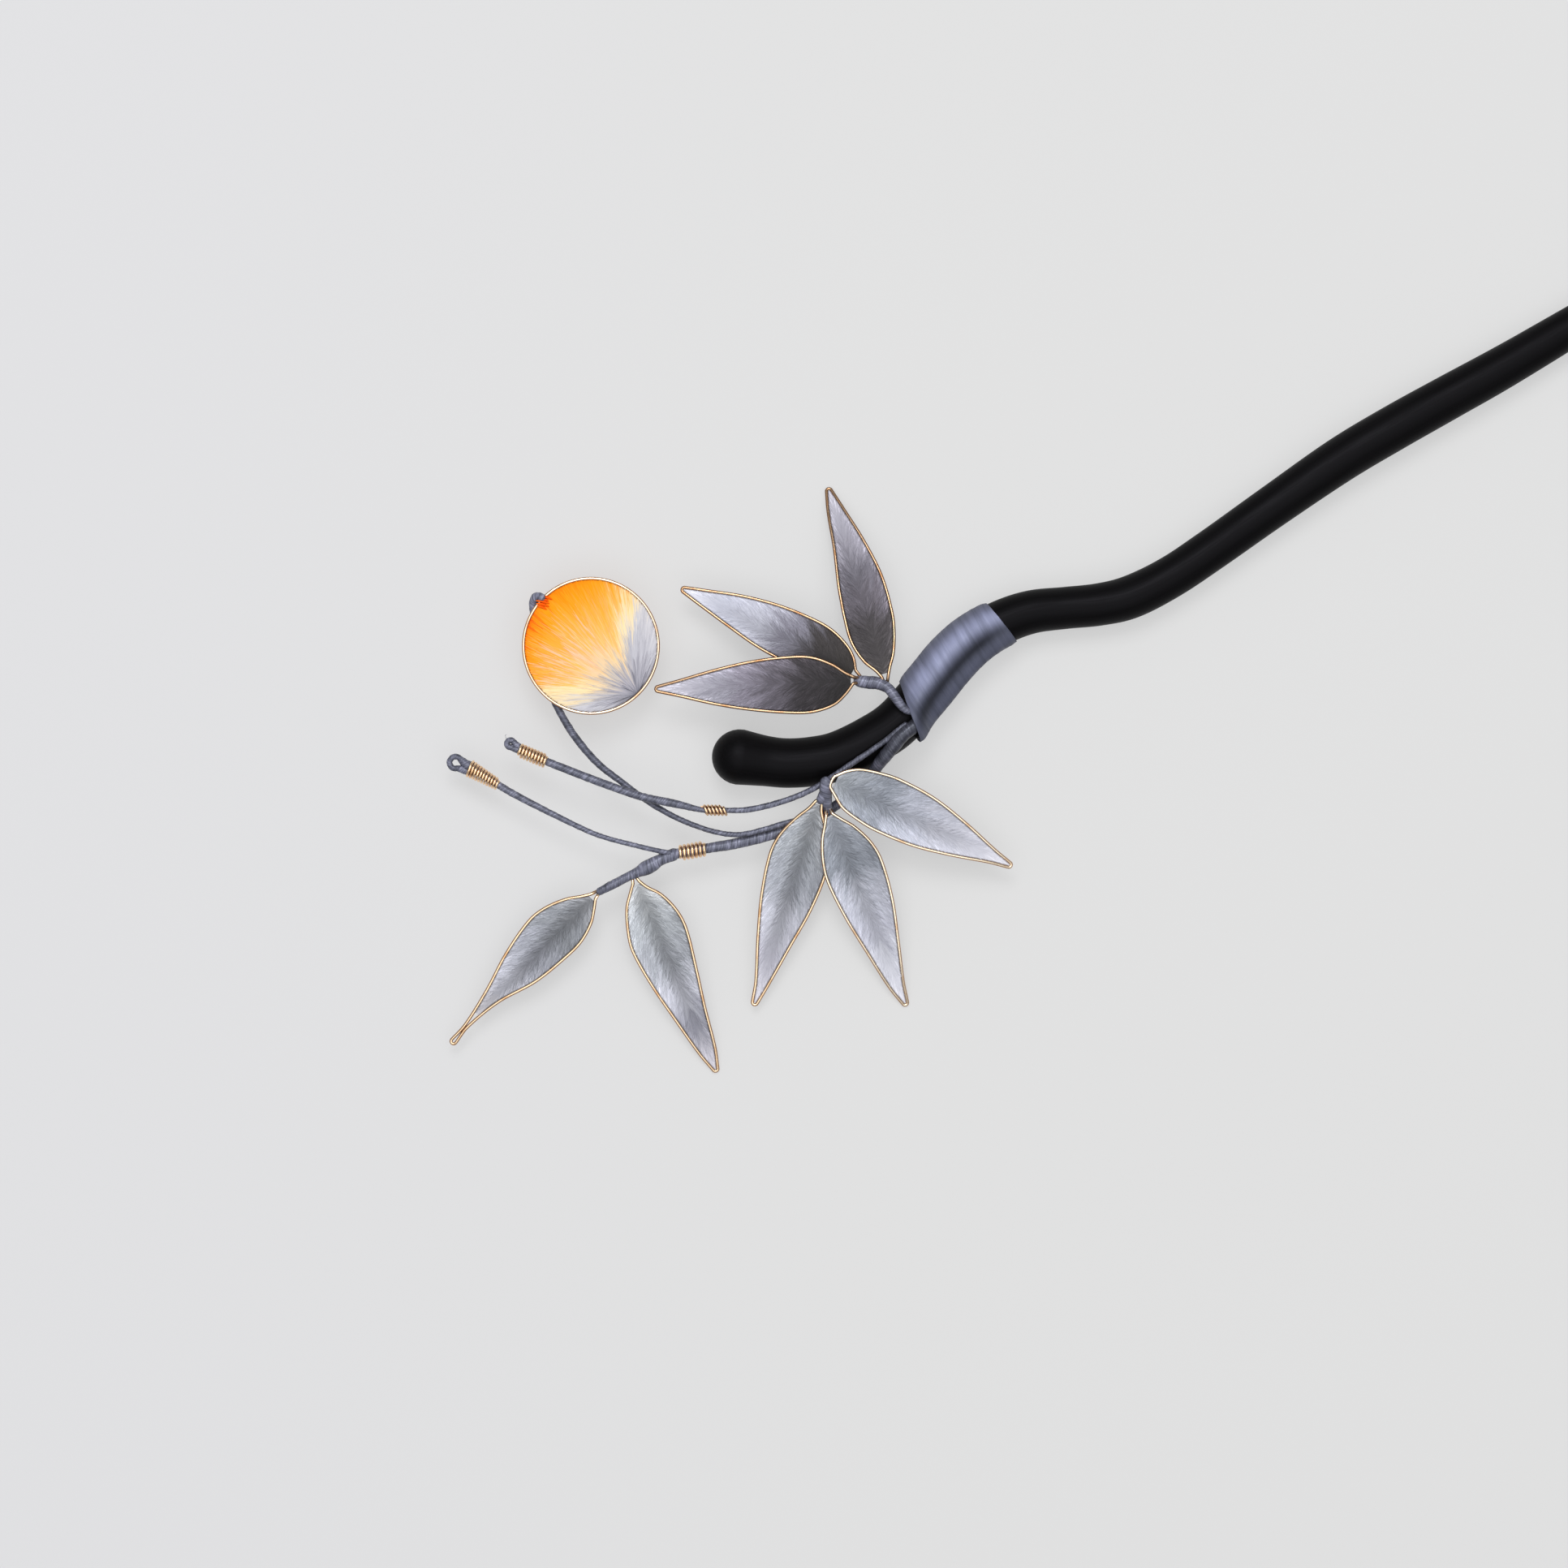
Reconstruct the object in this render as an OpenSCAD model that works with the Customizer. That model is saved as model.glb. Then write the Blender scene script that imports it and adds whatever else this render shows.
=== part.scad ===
// A long hair stick with sprays of silk leaves, lying on its back.
// +X runs along the shaft to its plain end, +Z is the side that shows, and z = 0 is the surface that it
// lies on. The origin is under the middle of the whole piece. Lengths are in millimetres.

/* [Hair stick] */
// Thickness of the shaft
shaft_d = 7; // [6.6:0.1:7.2]
// How far along X the shaft's plain end reaches
shaft_end = 121; // [110:1:125]
// Thickness of the shaft's end, where it is rounded
shaft_end_d = 3.4; // [2.6:0.2:4]

/* [Silk] */
// Thickness of the silk wound round the shaft, at the ends of the winding
binding_wall = 0.4; // [0.3:0.05:0.5]
// How much thicker it is half way along
binding_swell = 0.25; // [0:0.05:0.3]
// Thickness of a leaf's pressed silk along its middle
leaf_middle = 0.6; // [0.4:0.1:0.7]
// Thickness of a leaf's pressed silk at its edge
leaf_edge = 0.3; // [0.2:0.1:0.4]
// How far a leaf's sides curl down below its middle line, where it is 10 wide
leaf_curl = 0.7; // [0:0.1:1]

/* [Gold wire] */
// Thickness of the wire round each leaf
frame_d = 0.52; // [0.4:0.02:0.6]
// Thickness of the wire that is coiled on the stems
coil_wire_d = 0.36; // [0.3:0.02:0.38]

/* [Disc] */
// Width of the round disc over its wire
disc_d = 22.1; // [20:0.1:22.4]
// Thickness of the disc's wire
disc_wire_d = 0.56; // [0.4:0.02:0.6]
// Thickness of the disc's silk
disc_silk = 0.6; // [0.4:0.1:0.8]

/* [Hidden] */
// Room left between pieces that hold each other, and between pieces that are wound tight
gap = 0.1;
wound_gap = 0.15;

// Sides of the meshed round pieces
shaft_sides = 16;
stem_sides = 8;
twig_sides = 6;
wire_sides = 5;

// Height of the shaft's underside where the binding lifts it, and where along X it comes down to rest
binding_lift = wound_gap + binding_wall + binding_swell;
lift_from = -10;
lift_to = 100;

// Middle of the shaft from above, from the knob to the plain end
//   x, y, thickness as a share of shaft_d
shaft_course = [
    [-57.2, 4.4, 1.28],
    [-54, 1.7, 1.16],
    [-51.2, -0.4, 1.14],
    [-47.6, -2.3, 1.14],
    [-43.6, -3.7, 1.14],
    [-38, -4.3, 1.14],
    [-32.7, -4.1, 1.14],
    [-26, -2, 1.11],
    [-20, 0, 1.08],
    [-15, 1, 1.05],
    [-10, 0.9, 1.03],
    [-5, -0.2, 1],
    [0, -2.5, 0.97],
    [5, -4.9, 0.98],
    [10, -6.5, 1],
    [17, -7.1, 0.97],
    [25, -6.8, 0.97],
    [37, -6, 0.99],
    [50, -5.3, 1.04],
    [60, -5.4, 1.05],
    [70, -5.8, 1.03],
    [82, -6.3, 0.98],
    [100, -6.5, 0.85],
    [shaft_end - shaft_end_d / 2, -6.4, shaft_end_d / shaft_d]
];

// The binding: where it starts and ends, its stations, the points round it, and the room round a stem
// where it goes in
binding_from = -30;
binding_to = -10;
binding_stations = 10;
binding_points = 30;
mouth_gap = 0.35;

// Stems of silk-wound wire: x, y, z, thickness
main_branch_course = [
    [-14, -1.6, 7.95, 0.8],
    [-18, -2.5, 8.15, 1.2],
    [-22, -4, 8.3, 1.6],
    [-26, -5, 8.9, 2],
    [-30.5, -5.9, 9.5, 2.2],
    [-33, -6.2, 9.7, 2.3],
    [-35.5, -7, 9.35, 2.3],
    [-38, -7.9, 8.5, 2.1],
    [-41, -9, 7.2, 1.8],
    [-45, -9.9, 6.1, 1.5],
    [-50, -10.4, 5.4, 1.4],
    [-55, -9.9, 5.2, 1.4],
    [-59.5, -8.9, 5.3, 1.5],
    [-65, -7.1, 5.8, 1.7],
    [-69.6, -5.2, 6.3, 1.4],
    [-73.5, -3.7, 6.4, 1.4],
    [-76.7, -3, 6.4, 1.9],
    [-79.4, -2.9, 6.4, 2.3],
    [-82.1, -2.6, 6.4, 1.4],
    [-88.2, -2.2, 6.4, 1]
];
spray_stem_course = [
    [-35, 5.2, 8.9, 1.3],
    [-34, 4.2, 8.9, 1.5],
    [-32.2, 2.9, 9.05, 1.7],
    [-31.2, 1.3, 9.4, 1.6],
    [-31, -0.6, 9.8, 1.5],
    [-30.9, -2.4, 9.9, 1.3],
    [-30.3, -3.6, 9.9, 1.1],
    [-29, -3.6, 9.6, 0.9],
    [-25.5, -2.3, 9.3, 0.8],
    [-21, -0.3, 8.95, 0.4]
];
upper_twig_course = [
    [-36.6, -5.6, 9.3, 0.8],
    [-42.7, -5.9, 9, 0.9],
    [-49.5, -6.1, 8.7, 0.9],
    [-54.9, -5.3, 8.5, 0.9],
    [-60.2, -3.6, 8.5, 0.9],
    [-63.6, -1.7, 8.5, 0.7],
    [-66.6, 0.2, 8.5, 0.7],
    [-70.1, 3.6, 8.6, 1.3],
    [-73.9, 7.2, 8.8, 1.3],
    [-77.8, 11.9, 8.6, 1.3],
    [-81.8, 17.1, 8.2, 1.3],
    [-84, 20.05, 8, 1],
    [-85.5, 22.4, 7.9, 0.7],
    [-86.4, 23.9, 7.8, 0.5]
];
lower_twig_course = [
    [-75.4, -2, 7.4, 0.8],
    [-77, -0.7, 7.4, 0.8],
    [-79.4, 1.6, 7.2, 0.75],
    [-82.1, 4.4, 7, 0.75],
    [-84.3, 7.2, 6.8, 0.8],
    [-87.9, 12.8, 6.4, 0.95],
    [-91, 17.9, 6, 1.1],
    [-92.6, 20.9, 5.8, 0.9],
    [-93.8, 23.6, 5.7, 0.9],
    [-94.8, 26, 5.6, 0.75]
];
disc_stem_course = [
    [-57, -8.4, 6.35, 0.7],
    [-59.7, -7.6, 6.4, 0.8],
    [-63.7, -6.2, 6.8, 0.8],
    [-67.1, -3.5, 6.9, 0.8],
    [-70.6, 0.9, 6.9, 0.85],
    [-73.3, 5.7, 6.9, 0.95],
    [-75.7, 11.5, 6.9, 1],
    [-77.2, 15.7, 6.9, 1.1],
    [-78, 20.8, 7, 1.15],
    [-78, 25.5, 7.2, 1.2],
    [-77.4, 30, 7.3, 1.2],
    [-75.8, 36, 7.3, 1.2],
    [-73.4, 41, 7.3, 1.2],
    [-72.5, 42.7, 7.6, 1.2],
    [-71.6, 43.5, 8.5, 1.1],
    [-70.9, 43.2, 9.3, 0.8],
    [-70.6, 42.5, 9.5, 0.6]
];
cluster_stem_course = [
    [-46.8, -5.6, 10, 1.1],
    [-47.6, -6.2, 10, 1.2],
    [-48.4, -7.4, 9.3, 1.2],
    [-49, -8.8, 8.3, 1.2],
    [-49.4, -10, 7.4, 1.1],
    [-49.5, -10.5, 6.6, 1]
];

// Eyes bent at the ends of the two twigs: x, y, z, radius, thickness of the wound wire
upper_twig_eye = [-87.4, 25.45, 7.7, 0.62, 0.85];
lower_twig_eye = [-96.6, 27.5, 5.5, 1, 0.85];
// How far round each eye is bent, and the angle from one of its points to the next
eye_turn = 240;
eye_step = 24;
// Where each wire's end comes back into its coil
upper_twig_return = [
    [-86.9, 23.6, 7.8, 0.5],
    [-86.5, 23, 7.85, 0.4]
];
lower_twig_return = [
    [-95.7, 25.5, 5.6, 0.75],
    [-95, 24.2, 5.65, 0.5]
];

// Coils of gold wire: start, end, width at the start, width at the end, turns
main_branch_coil = [[-69.6, -5.2, 6.3], [-73.5, -3.7, 6.4], 2.4, 2.4, 7];
upper_twig_middle_coil = [[-63.6, -1.7, 8.5], [-66.6, 0.2, 8.5], 1.65, 1.65, 6.5];
upper_twig_end_coil = [[-84, 20, 8], [-86.7, 23.75, 7.8], 2.1, 2.1, 9];
lower_twig_end_coil = [[-92.6, 20.9, 5.8], [-95.25, 25.75, 5.6], 2, 2.8, 11];
// Points of the wire in each turn
coil_steps = 9;

// Leaves: foot, tip, height at the foot and at the tip, arch in the middle, how much of the length is
// silk, and how far each side stands off the straight line from foot to tip at the leaf stations
leaf_stations = [0.04, 0.1, 0.2, 0.3, 0.5, 0.7, 0.9];
FOOT = 0;
TIP = 1;
FOOT_Z = 2;
TIP_Z = 3;
ARCH = 4;
SILK_TO = 5;
LEFT = 6;
RIGHT = 7;
upper_leaf_1 = [[-30.6, 3.3], [-22.3, 34.2], 9.3, 0.5, 1.2, 0.96,
    [1.2, 2.5, 3.5, 3.6, 3, 1.9, 1.1], [1.2, 2.3, 3.4, 4, 4.1, 3, 1.3]];
upper_leaf_2 = [[-34.6, 6.2], [-51.1, 32.5], 8.5, 5.5, 0.3, 0.96,
    [1, 1.8, 2.8, 3.1, 3, 2.1, 1], [2.2, 3.5, 4.6, 4.9, 4.5, 3.3, 1.4]];
upper_leaf_3 = [[-35.3, 5.4], [-63.2, 20.8], 9.9, 8.5, 0.8, 0.96,
    [2.1, 3.7, 4.7, 4.8, 4.1, 2.9, 1.2], [1.2, 2.5, 3.8, 4.1, 3.7, 2.6, 1.1]];
lower_leaf_1 = [[-46.5, -6.8], [-29, -33.5], 10.4, 5, 1.2, 0.97,
    [2, 3.5, 4.4, 4.8, 4.5, 3.1, 1.2], [1.6, 3, 3.8, 4.1, 3.8, 2.6, 1]];
lower_leaf_2 = [[-50.2, -8.4], [-76.3, -31], 8.2, 2.2, 0, 0.97,
    [0.9, 2.1, 3.7, 4.5, 4, 2.6, 1.2], [1.2, 2.6, 4.3, 4.9, 4.2, 2.7, 0.9]];
lower_leaf_3 = [[-49.8, -11], [-55.3, -44], 8.4, 0.5, 1.2, 0.97,
    [1.5, 3, 4.5, 5, 4.3, 2.7, 1], [1.3, 2.5, 3.7, 4.2, 3.7, 2.6, 1.4]];
end_leaf_1 = [[-89, -2.4], [-121.1, -10.7], 6.4, 3, 0.6, 0.82,
    [1.5, 2.7, 3.6, 3.6, 2.8, 0.8, 0.1], [1.4, 2.8, 4.2, 4.7, 3.7, 1.9, 0.7]];
end_leaf_2 = [[-81.9, -4.1], [-87, -37.1], 6.1, 0.5, 0.8, 0.97,
    [1.3, 2.9, 4.2, 4.5, 3.5, 2.3, 1.3], [1.6, 3, 4.2, 4.8, 4.1, 2.8, 1.4]];
// Half of the distance between the wire's two sides at a leaf's foot and tip
foot_half = 0.35;
tip_half = 0.42;
// Where along a leaf its silk starts, and the room between the silk and the wire
silk_from = 0.03;
silk_gap = 0.15;
// Steps of the wire along one side of a leaf, and of the silk along and across it
frame_steps = 16;
silk_rows = 14;
silk_columns = 4;

// Middle of the disc
disc_at = [-68.2, 32, 8.5];
// How much the middle of the disc's silk stands proud of its edge
disc_dome = 0.4;

function xyz(p) = [p[0], p[1], p[2]];
function unit(v) = v / norm(v);
function mix(a, b, t) = a + (b - a) * t;
function last(list) = list[len(list) - 1];

// A smooth line through rows of numbers, cut into steps pieces from each row to the next
function spline(p, a, b, q, t) =
    a + (b - p) * t / 2 + (2 * p - 5 * a + 4 * b - q) * t^2 / 2 + (3 * a - p - 3 * b + q) * t^3 / 2;
function smooth(rows, steps) = [
    for (i = [0:len(rows) - 2], j = [0:steps - 1])
        spline(rows[max(i - 1, 0)], rows[i], rows[i + 1], rows[min(i + 2, len(rows) - 1)], j / steps),
    last(rows)
];

// A ring of points square to each point of a line of x, y, z and thickness
function rings(line, sides, up, closed = false) =
    let (n = len(line))
    [for (i = [0:n - 1])
        let (
            before = closed ? (i + n - 1) % n : max(i - 1, 0),
            after = closed ? (i + 1) % n : min(i + 1, n - 1),
            ahead = unit(xyz(line[after]) - xyz(line[before])),
            out = unit(cross(ahead, up)),
            high = cross(out, ahead)
        )
        [for (k = [0:sides - 1])
            let (a = 360 * k / sides)
            xyz(line[i]) + line[i][3] / 2 * (cos(a) * out + sin(a) * high)]];

// A solid skin over rings, either shut by a flat face at each end or running round in a loop
module skin(rings, closed = false) {
    n = len(rings[0]);
    m = len(rings);
    walls = [for (i = [0:m - (closed ? 1 : 2)], k = [0:n - 1])
        let (a = i * n, b = (i + 1) % m * n, j = (k + 1) % n)
        each [[a + k, a + j, b + j], [a + k, b + j, b + k]]];
    ends = closed ? [] : [[for (k = [n - 1:-1:0]) k], [for (k = [0:n - 1]) (m - 1) * n + k]];
    polyhedron([for (ring = rings) each ring], concat(walls, ends));
}

// Rows that round off a bar's end: middle of the end, which way it points, thickness there
function round_end(middle, way, d) = [for (a = [25, 50, 70, 85])
    concat(middle + way * d / 2 * sin(a), [d * cos(a)])];
function turned(list) = [for (i = [len(list) - 1:-1:0]) list[i]];

function lift(x) = binding_lift * min(1, max(0, (lift_to - x) / (lift_to - lift_from)));
shaft_rows = [for (p = shaft_course)
    let (d = p[2] * shaft_d)
    [p[0], p[1], lift(p[0]) + d / 2, d]];
shaft_line = smooth(shaft_rows, 2);
knob_way = unit(xyz(shaft_line[0]) - xyz(shaft_line[1]));
shaft_whole = concat(
    turned(round_end(xyz(shaft_line[0]), knob_way, shaft_line[0][3])),
    shaft_line,
    round_end(xyz(last(shaft_line)), [1, 0, 0], last(shaft_line)[3])
);

// The binding's inside, as a distance from the shaft's middle line in the direction a, in degrees from
// the top. It goes round the shaft and round what lies on the shaft under the silk.
function at_x(line, x, column) = lookup(x, [for (p = line) [p[0], p[column]]]);
function past_circle(d, off, r) = abs(d * sin(off)) < r ? d * cos(off) + sqrt(r^2 - (d * sin(off))^2) : 0;
function past_stem(line, x, a, middle, slope, room) =
    let (
        y = (middle[1] - at_x(line, x, 1)) * cos(slope),
        z = at_x(line, x, 2) - middle[2],
        r = at_x(line, x, 3) / 2 + room
    )
    max([for (nudge = [-8, 0, 8]) past_circle(norm([y, z]), a + nudge - atan2(y, z), r)]);
branch_line = smooth(main_branch_course, 2);
spray_line = smooth(spray_stem_course, 2);
spray_tail = [for (p = spray_line) if (p[0] > -30.2 && p[1] < 1) p];
function binding_inside(x, a, middle, slope) =
    let (
        room = x == binding_from ? mouth_gap : wound_gap,
        step = (binding_to - binding_from) / binding_stations
    )
    max(
        middle[3] / 2 + wound_gap,
        x < branch_line[0][0] + step ? past_stem(branch_line, x, a, middle, slope, room) : 0,
        x < last(spray_tail)[0] + step ? past_stem(spray_tail, x, a, middle, slope, room) : 0
    );
function binding_rings(outside) = [for (i = [0:binding_stations])
    let (
        t = i / binding_stations,
        x = mix(binding_from, binding_to, t),
        middle = [x, at_x(shaft_line, x, 1), at_x(shaft_line, x, 2), at_x(shaft_line, x, 3)],
        slope = atan((at_x(shaft_line, x + 1, 1) - at_x(shaft_line, x - 1, 1)) / 2),
        wall = outside ? binding_wall + binding_swell * sin(180 * t) : 0
    )
    [for (k = [0:binding_points - 1])
        let (
            a = 360 * k / binding_points - 180,
            r = binding_inside(x, a, middle, slope) + wall
        )
        [x, middle[1] - r * sin(a) / cos(slope), middle[2] + r * cos(a)]]];

// A twig's line: its course, the eye at its end, and the end that comes back into the coil
function eye(at, way) =
    let (first = atan2(way[1], way[0]) - eye_turn / 2)
    [for (a = [0:eye_step:eye_turn])
        [at[0] + at[3] * cos(first + a), at[1] + at[3] * sin(first + a), at[2], at[4]]];
function twig_line(course, at, back) =
    concat(smooth(course, 2), eye(at, xyz(at) - xyz(last(course))), back);

module coil(from_to) {
    start = from_to[0];
    axis = unit(from_to[1] - start);
    out = unit(cross(axis, [0, 0, 1]));
    high = cross(out, axis);
    steps = round(from_to[4] * coil_steps);
    line = [for (i = [0:steps])
        let (
            t = i / steps,
            a = 360 * from_to[4] * t,
            r = (mix(from_to[2], from_to[3], t) - coil_wire_d) / 2
        )
        concat(mix(start, from_to[1], t) + r * (cos(a) * out + sin(a) * high), [coil_wire_d])];
    color("goldenrod") skin(rings(line, wire_sides, axis));
}

// How far a leaf's side stands off its middle line at s, as a smooth curve through the leaf stations
function side_points(offs) = concat(
    [[0, foot_half]],
    [for (i = [0:len(offs) - 1]) [leaf_stations[i], offs[i]]],
    [[1, tip_half]]
);
function slope_at(p, i) =
    let (a = p[max(i - 1, 0)], b = p[min(i + 1, len(p) - 1)])
    (b[1] - a[1]) / (b[0] - a[0]);
function stand_off(offs, s) =
    let (
        p = side_points(offs),
        i = max([for (j = [0:len(p) - 2]) if (p[j][0] <= s) j]),
        w = p[i + 1][0] - p[i][0],
        t = (s - p[i][0]) / w
    )
    p[i][1] * (1 + 2 * t) * (1 - t)^2 + slope_at(p, i) * w * t * (1 - t)^2
        + p[i + 1][1] * t^2 * (3 - 2 * t) + slope_at(p, i + 1) * w * t^2 * (t - 1);

// A point of a leaf: s along it from foot to tip, off to the left of its middle line, up from its sheet
function leaf_length(leaf) = norm(leaf[TIP] - leaf[FOOT]) - tip_half - frame_d / 2;
function leaf_point(leaf, s, off, up = 0) =
    let (
        way = unit(leaf[TIP] - leaf[FOOT]),
        plan = leaf[FOOT] + way * s * leaf_length(leaf) + [-way[1], way[0]] * off,
        z = mix(leaf[FOOT_Z], leaf[TIP_Z], s) + leaf[ARCH] * 4 * s * (1 - s) - leaf_curl * (off / 5)^2
    )
    [plan[0], plan[1], z + up];
function eased(i, n) = (1 - cos(180 * i / n)) / 2;

module leaf_frame(leaf) {
    length = leaf_length(leaf);
    left = [for (i = [0:frame_steps]) let (s = eased(i, frame_steps))
        leaf_point(leaf, s, stand_off(leaf[LEFT], s))];
    right = [for (i = [frame_steps:-1:0]) let (s = eased(i, frame_steps))
        leaf_point(leaf, s, -stand_off(leaf[RIGHT], s))];
    tip = [for (a = [60, 0, -60]) leaf_point(leaf, 1 + tip_half * cos(a) / length, tip_half * sin(a))];
    foot = [leaf_point(leaf, -foot_half / length, 0)];
    line = [for (p = concat(left, tip, right, foot)) concat(p, [frame_d])];
    color("goldenrod") skin(rings(line, wire_sides, [0, 0, 1], closed = true), closed = true);
}

// The pressed silk inside a leaf's wire, thin at its edges
function inset(offs, s, length) =
    let (rise = (stand_off(offs, s + 0.01) - stand_off(offs, s - 0.01)) / (0.02 * length))
    stand_off(offs, s) - (frame_d / 2 + silk_gap) * sqrt(1 + rise^2);
function silk_grid(leaf, face) = [for (i = [0:silk_rows])
    let (
        s = mix(silk_from, leaf[SILK_TO], eased(i, silk_rows)),
        left = inset(leaf[LEFT], s, leaf_length(leaf)),
        right = -inset(leaf[RIGHT], s, leaf_length(leaf)),
        ends = min(1, 4 * eased(i, silk_rows), 4 * (1 - eased(i, silk_rows)))
    )
    [for (k = [0:silk_columns])
        let (
            u = k / silk_columns,
            thick = mix(leaf_edge, leaf_middle, 4 * u * (1 - u) * ends)
        )
        leaf_point(leaf, s, mix(left, right, u), face * thick / 2)]];

module leaf_silk(leaf, colour) {
    top = silk_grid(leaf, 1);
    under = silk_grid(leaf, -1);
    color(colour) skin([for (i = [0:silk_rows]) concat(under[i], turned(top[i]))]);
}

module hair_stick() {
    color([0.08, 0.08, 0.09]) skin(rings(shaft_whole, shaft_sides, [0, 0, 1]));
}

module binding() {
    n = binding_points;
    outer = binding_rings(true);
    inner = binding_rings(false);
    m = len(outer);
    walls = [for (i = [0:m - 2], k = [0:n - 1])
        let (a = i * n, b = a + n, j = (k + 1) % n)
        each [[a + j, a + k, b + k], [a + j, b + k, b + j]]];
    lining = [for (w = walls) [for (corner = turned(w)) corner + m * n]];
    from_end = [for (k = [0:n - 1])
        let (j = (k + 1) % n)
        each [[k, j, m * n + j], [k, m * n + j, m * n + k]]];
    to_end = [for (w = from_end) [for (corner = turned(w)) corner + (m - 1) * n]];
    color([0.46, 0.47, 0.57])
        polyhedron([for (ring = concat(outer, inner)) each ring], concat(walls, lining, from_end, to_end));
}

module stem(line, sides) {
    color([0.42, 0.43, 0.51]) skin(rings(line, sides, [0, 0, 1]));
}
module main_branch() { stem(branch_line, stem_sides); }
module spray_stem() { stem(spray_line, stem_sides); }
module cluster_stem() { stem(smooth(cluster_stem_course, 2), stem_sides); }
module disc_stem() { stem(smooth(disc_stem_course, 2), twig_sides); }
module upper_twig() { stem(twig_line(upper_twig_course, upper_twig_eye, upper_twig_return), twig_sides); }
module lower_twig() { stem(twig_line(lower_twig_course, lower_twig_eye, lower_twig_return), twig_sides); }

module disc_ring() {
    color("goldenrod")
        translate(disc_at)
        rotate_extrude($fn = 72)
        translate([(disc_d - disc_wire_d) / 2, 0])
        circle(d = disc_wire_d, $fn = 16);
}

module disc_silk() {
    r = disc_d / 2 - disc_wire_d - gap;
    color([0.95, 0.66, 0.3])
        translate(disc_at)
        rotate_extrude($fn = 72)
        polygon([
            [0, disc_dome - disc_silk / 2],
            [r / 2, disc_dome * 0.75 - disc_silk / 2],
            [r, -disc_silk / 4],
            [r, disc_silk / 4],
            [r / 2, disc_dome * 0.75 + disc_silk / 2],
            [0, disc_dome + disc_silk / 2]
        ]);
}

dark_silk = [0.42, 0.41, 0.46];
pale_silk = [0.55, 0.56, 0.62];

hair_stick();
binding();
main_branch();
spray_stem();
cluster_stem();
upper_twig();
lower_twig();
disc_stem();
coil(main_branch_coil);
coil(upper_twig_middle_coil);
coil(upper_twig_end_coil);
coil(lower_twig_end_coil);
leaf_frame(upper_leaf_1);  // upper_leaf_1_frame
leaf_frame(upper_leaf_2);  // upper_leaf_2_frame
leaf_frame(upper_leaf_3);  // upper_leaf_3_frame
leaf_frame(lower_leaf_1);  // lower_leaf_1_frame
leaf_frame(lower_leaf_2);  // lower_leaf_2_frame
leaf_frame(lower_leaf_3);  // lower_leaf_3_frame
leaf_frame(end_leaf_1);  // end_leaf_1_frame
leaf_frame(end_leaf_2);  // end_leaf_2_frame
leaf_silk(upper_leaf_1, dark_silk);  // upper_leaf_1_silk
leaf_silk(upper_leaf_2, dark_silk);  // upper_leaf_2_silk
leaf_silk(upper_leaf_3, dark_silk);  // upper_leaf_3_silk
leaf_silk(lower_leaf_1, pale_silk);  // lower_leaf_1_silk
leaf_silk(lower_leaf_2, pale_silk);  // lower_leaf_2_silk
leaf_silk(lower_leaf_3, pale_silk);  // lower_leaf_3_silk
leaf_silk(end_leaf_1, pale_silk);  // end_leaf_1_silk
leaf_silk(end_leaf_2, pale_silk);  // end_leaf_2_silk
disc_ring();
disc_silk();
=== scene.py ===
# A long dark hair stick with wound stems, wire-edged silk leaves and a round silk disc.
from math import atan, atan2, cos, degrees, dist, exp, hypot, pi, radians, sin, sqrt, tan

import bmesh
import bpy
import numpy as np
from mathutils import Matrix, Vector


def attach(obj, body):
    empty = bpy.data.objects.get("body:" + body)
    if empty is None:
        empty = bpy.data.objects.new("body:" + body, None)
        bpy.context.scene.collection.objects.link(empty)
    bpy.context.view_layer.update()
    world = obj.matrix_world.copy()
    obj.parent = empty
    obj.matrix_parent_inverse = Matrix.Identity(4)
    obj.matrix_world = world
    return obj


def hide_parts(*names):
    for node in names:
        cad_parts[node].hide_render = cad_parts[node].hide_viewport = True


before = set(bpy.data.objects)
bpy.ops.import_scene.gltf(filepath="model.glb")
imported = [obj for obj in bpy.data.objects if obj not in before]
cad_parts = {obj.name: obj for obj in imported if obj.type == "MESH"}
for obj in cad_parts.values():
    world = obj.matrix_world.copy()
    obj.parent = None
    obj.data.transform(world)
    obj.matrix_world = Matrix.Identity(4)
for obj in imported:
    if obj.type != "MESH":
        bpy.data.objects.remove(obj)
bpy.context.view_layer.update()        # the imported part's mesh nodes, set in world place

mm = 0.001  # the tables below are in millimetres
print("frame loaded:", len(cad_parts), "nodes")


# Node helpers. They build in the tree that was opened last.
# A value is a number, a colour, text or another node's socket.
opened = {"tree": None}
groups = {}


def setInputs(node, values):
    for name, value in values.items():
        if isinstance(value, bpy.types.NodeSocket):
            opened["tree"].links.new(value, node.inputs[name])
        else:
            node.inputs[name].default_value = value


def put(kind, values=None, **settings):
    node = opened["tree"].nodes.new(kind)
    for name, value in settings.items():
        setattr(node, name, value)
    setInputs(node, values or {})
    return node


def calc(operation, *values):
    return put("ShaderNodeMath", dict(enumerate(values)), operation=operation).outputs[0]


def times(product, *others):
    for value in others:
        product = calc("MULTIPLY", product, value)
    return product


def timesPlus(value, by, more):
    return calc("MULTIPLY_ADD", value, by, more)


def plus(first, second):
    return calc("ADD", first, second)


def minus(first, second):
    return calc("SUBTRACT", first, second)


def swing(value, by):  # turns a noise round 0.5 into a swing round 0
    return times(minus(value, 0.5), by)


def vectorCalc(operation, *values):
    outputs = put("ShaderNodeVectorMath", dict(enumerate(values)), operation=operation).outputs
    return outputs["Value" if operation == "DOT_PRODUCT" else "Vector"]


def scaled(vector, by):
    return put("ShaderNodeVectorMath", {0: vector, 3: by}, operation="SCALE").outputs[0]


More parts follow.
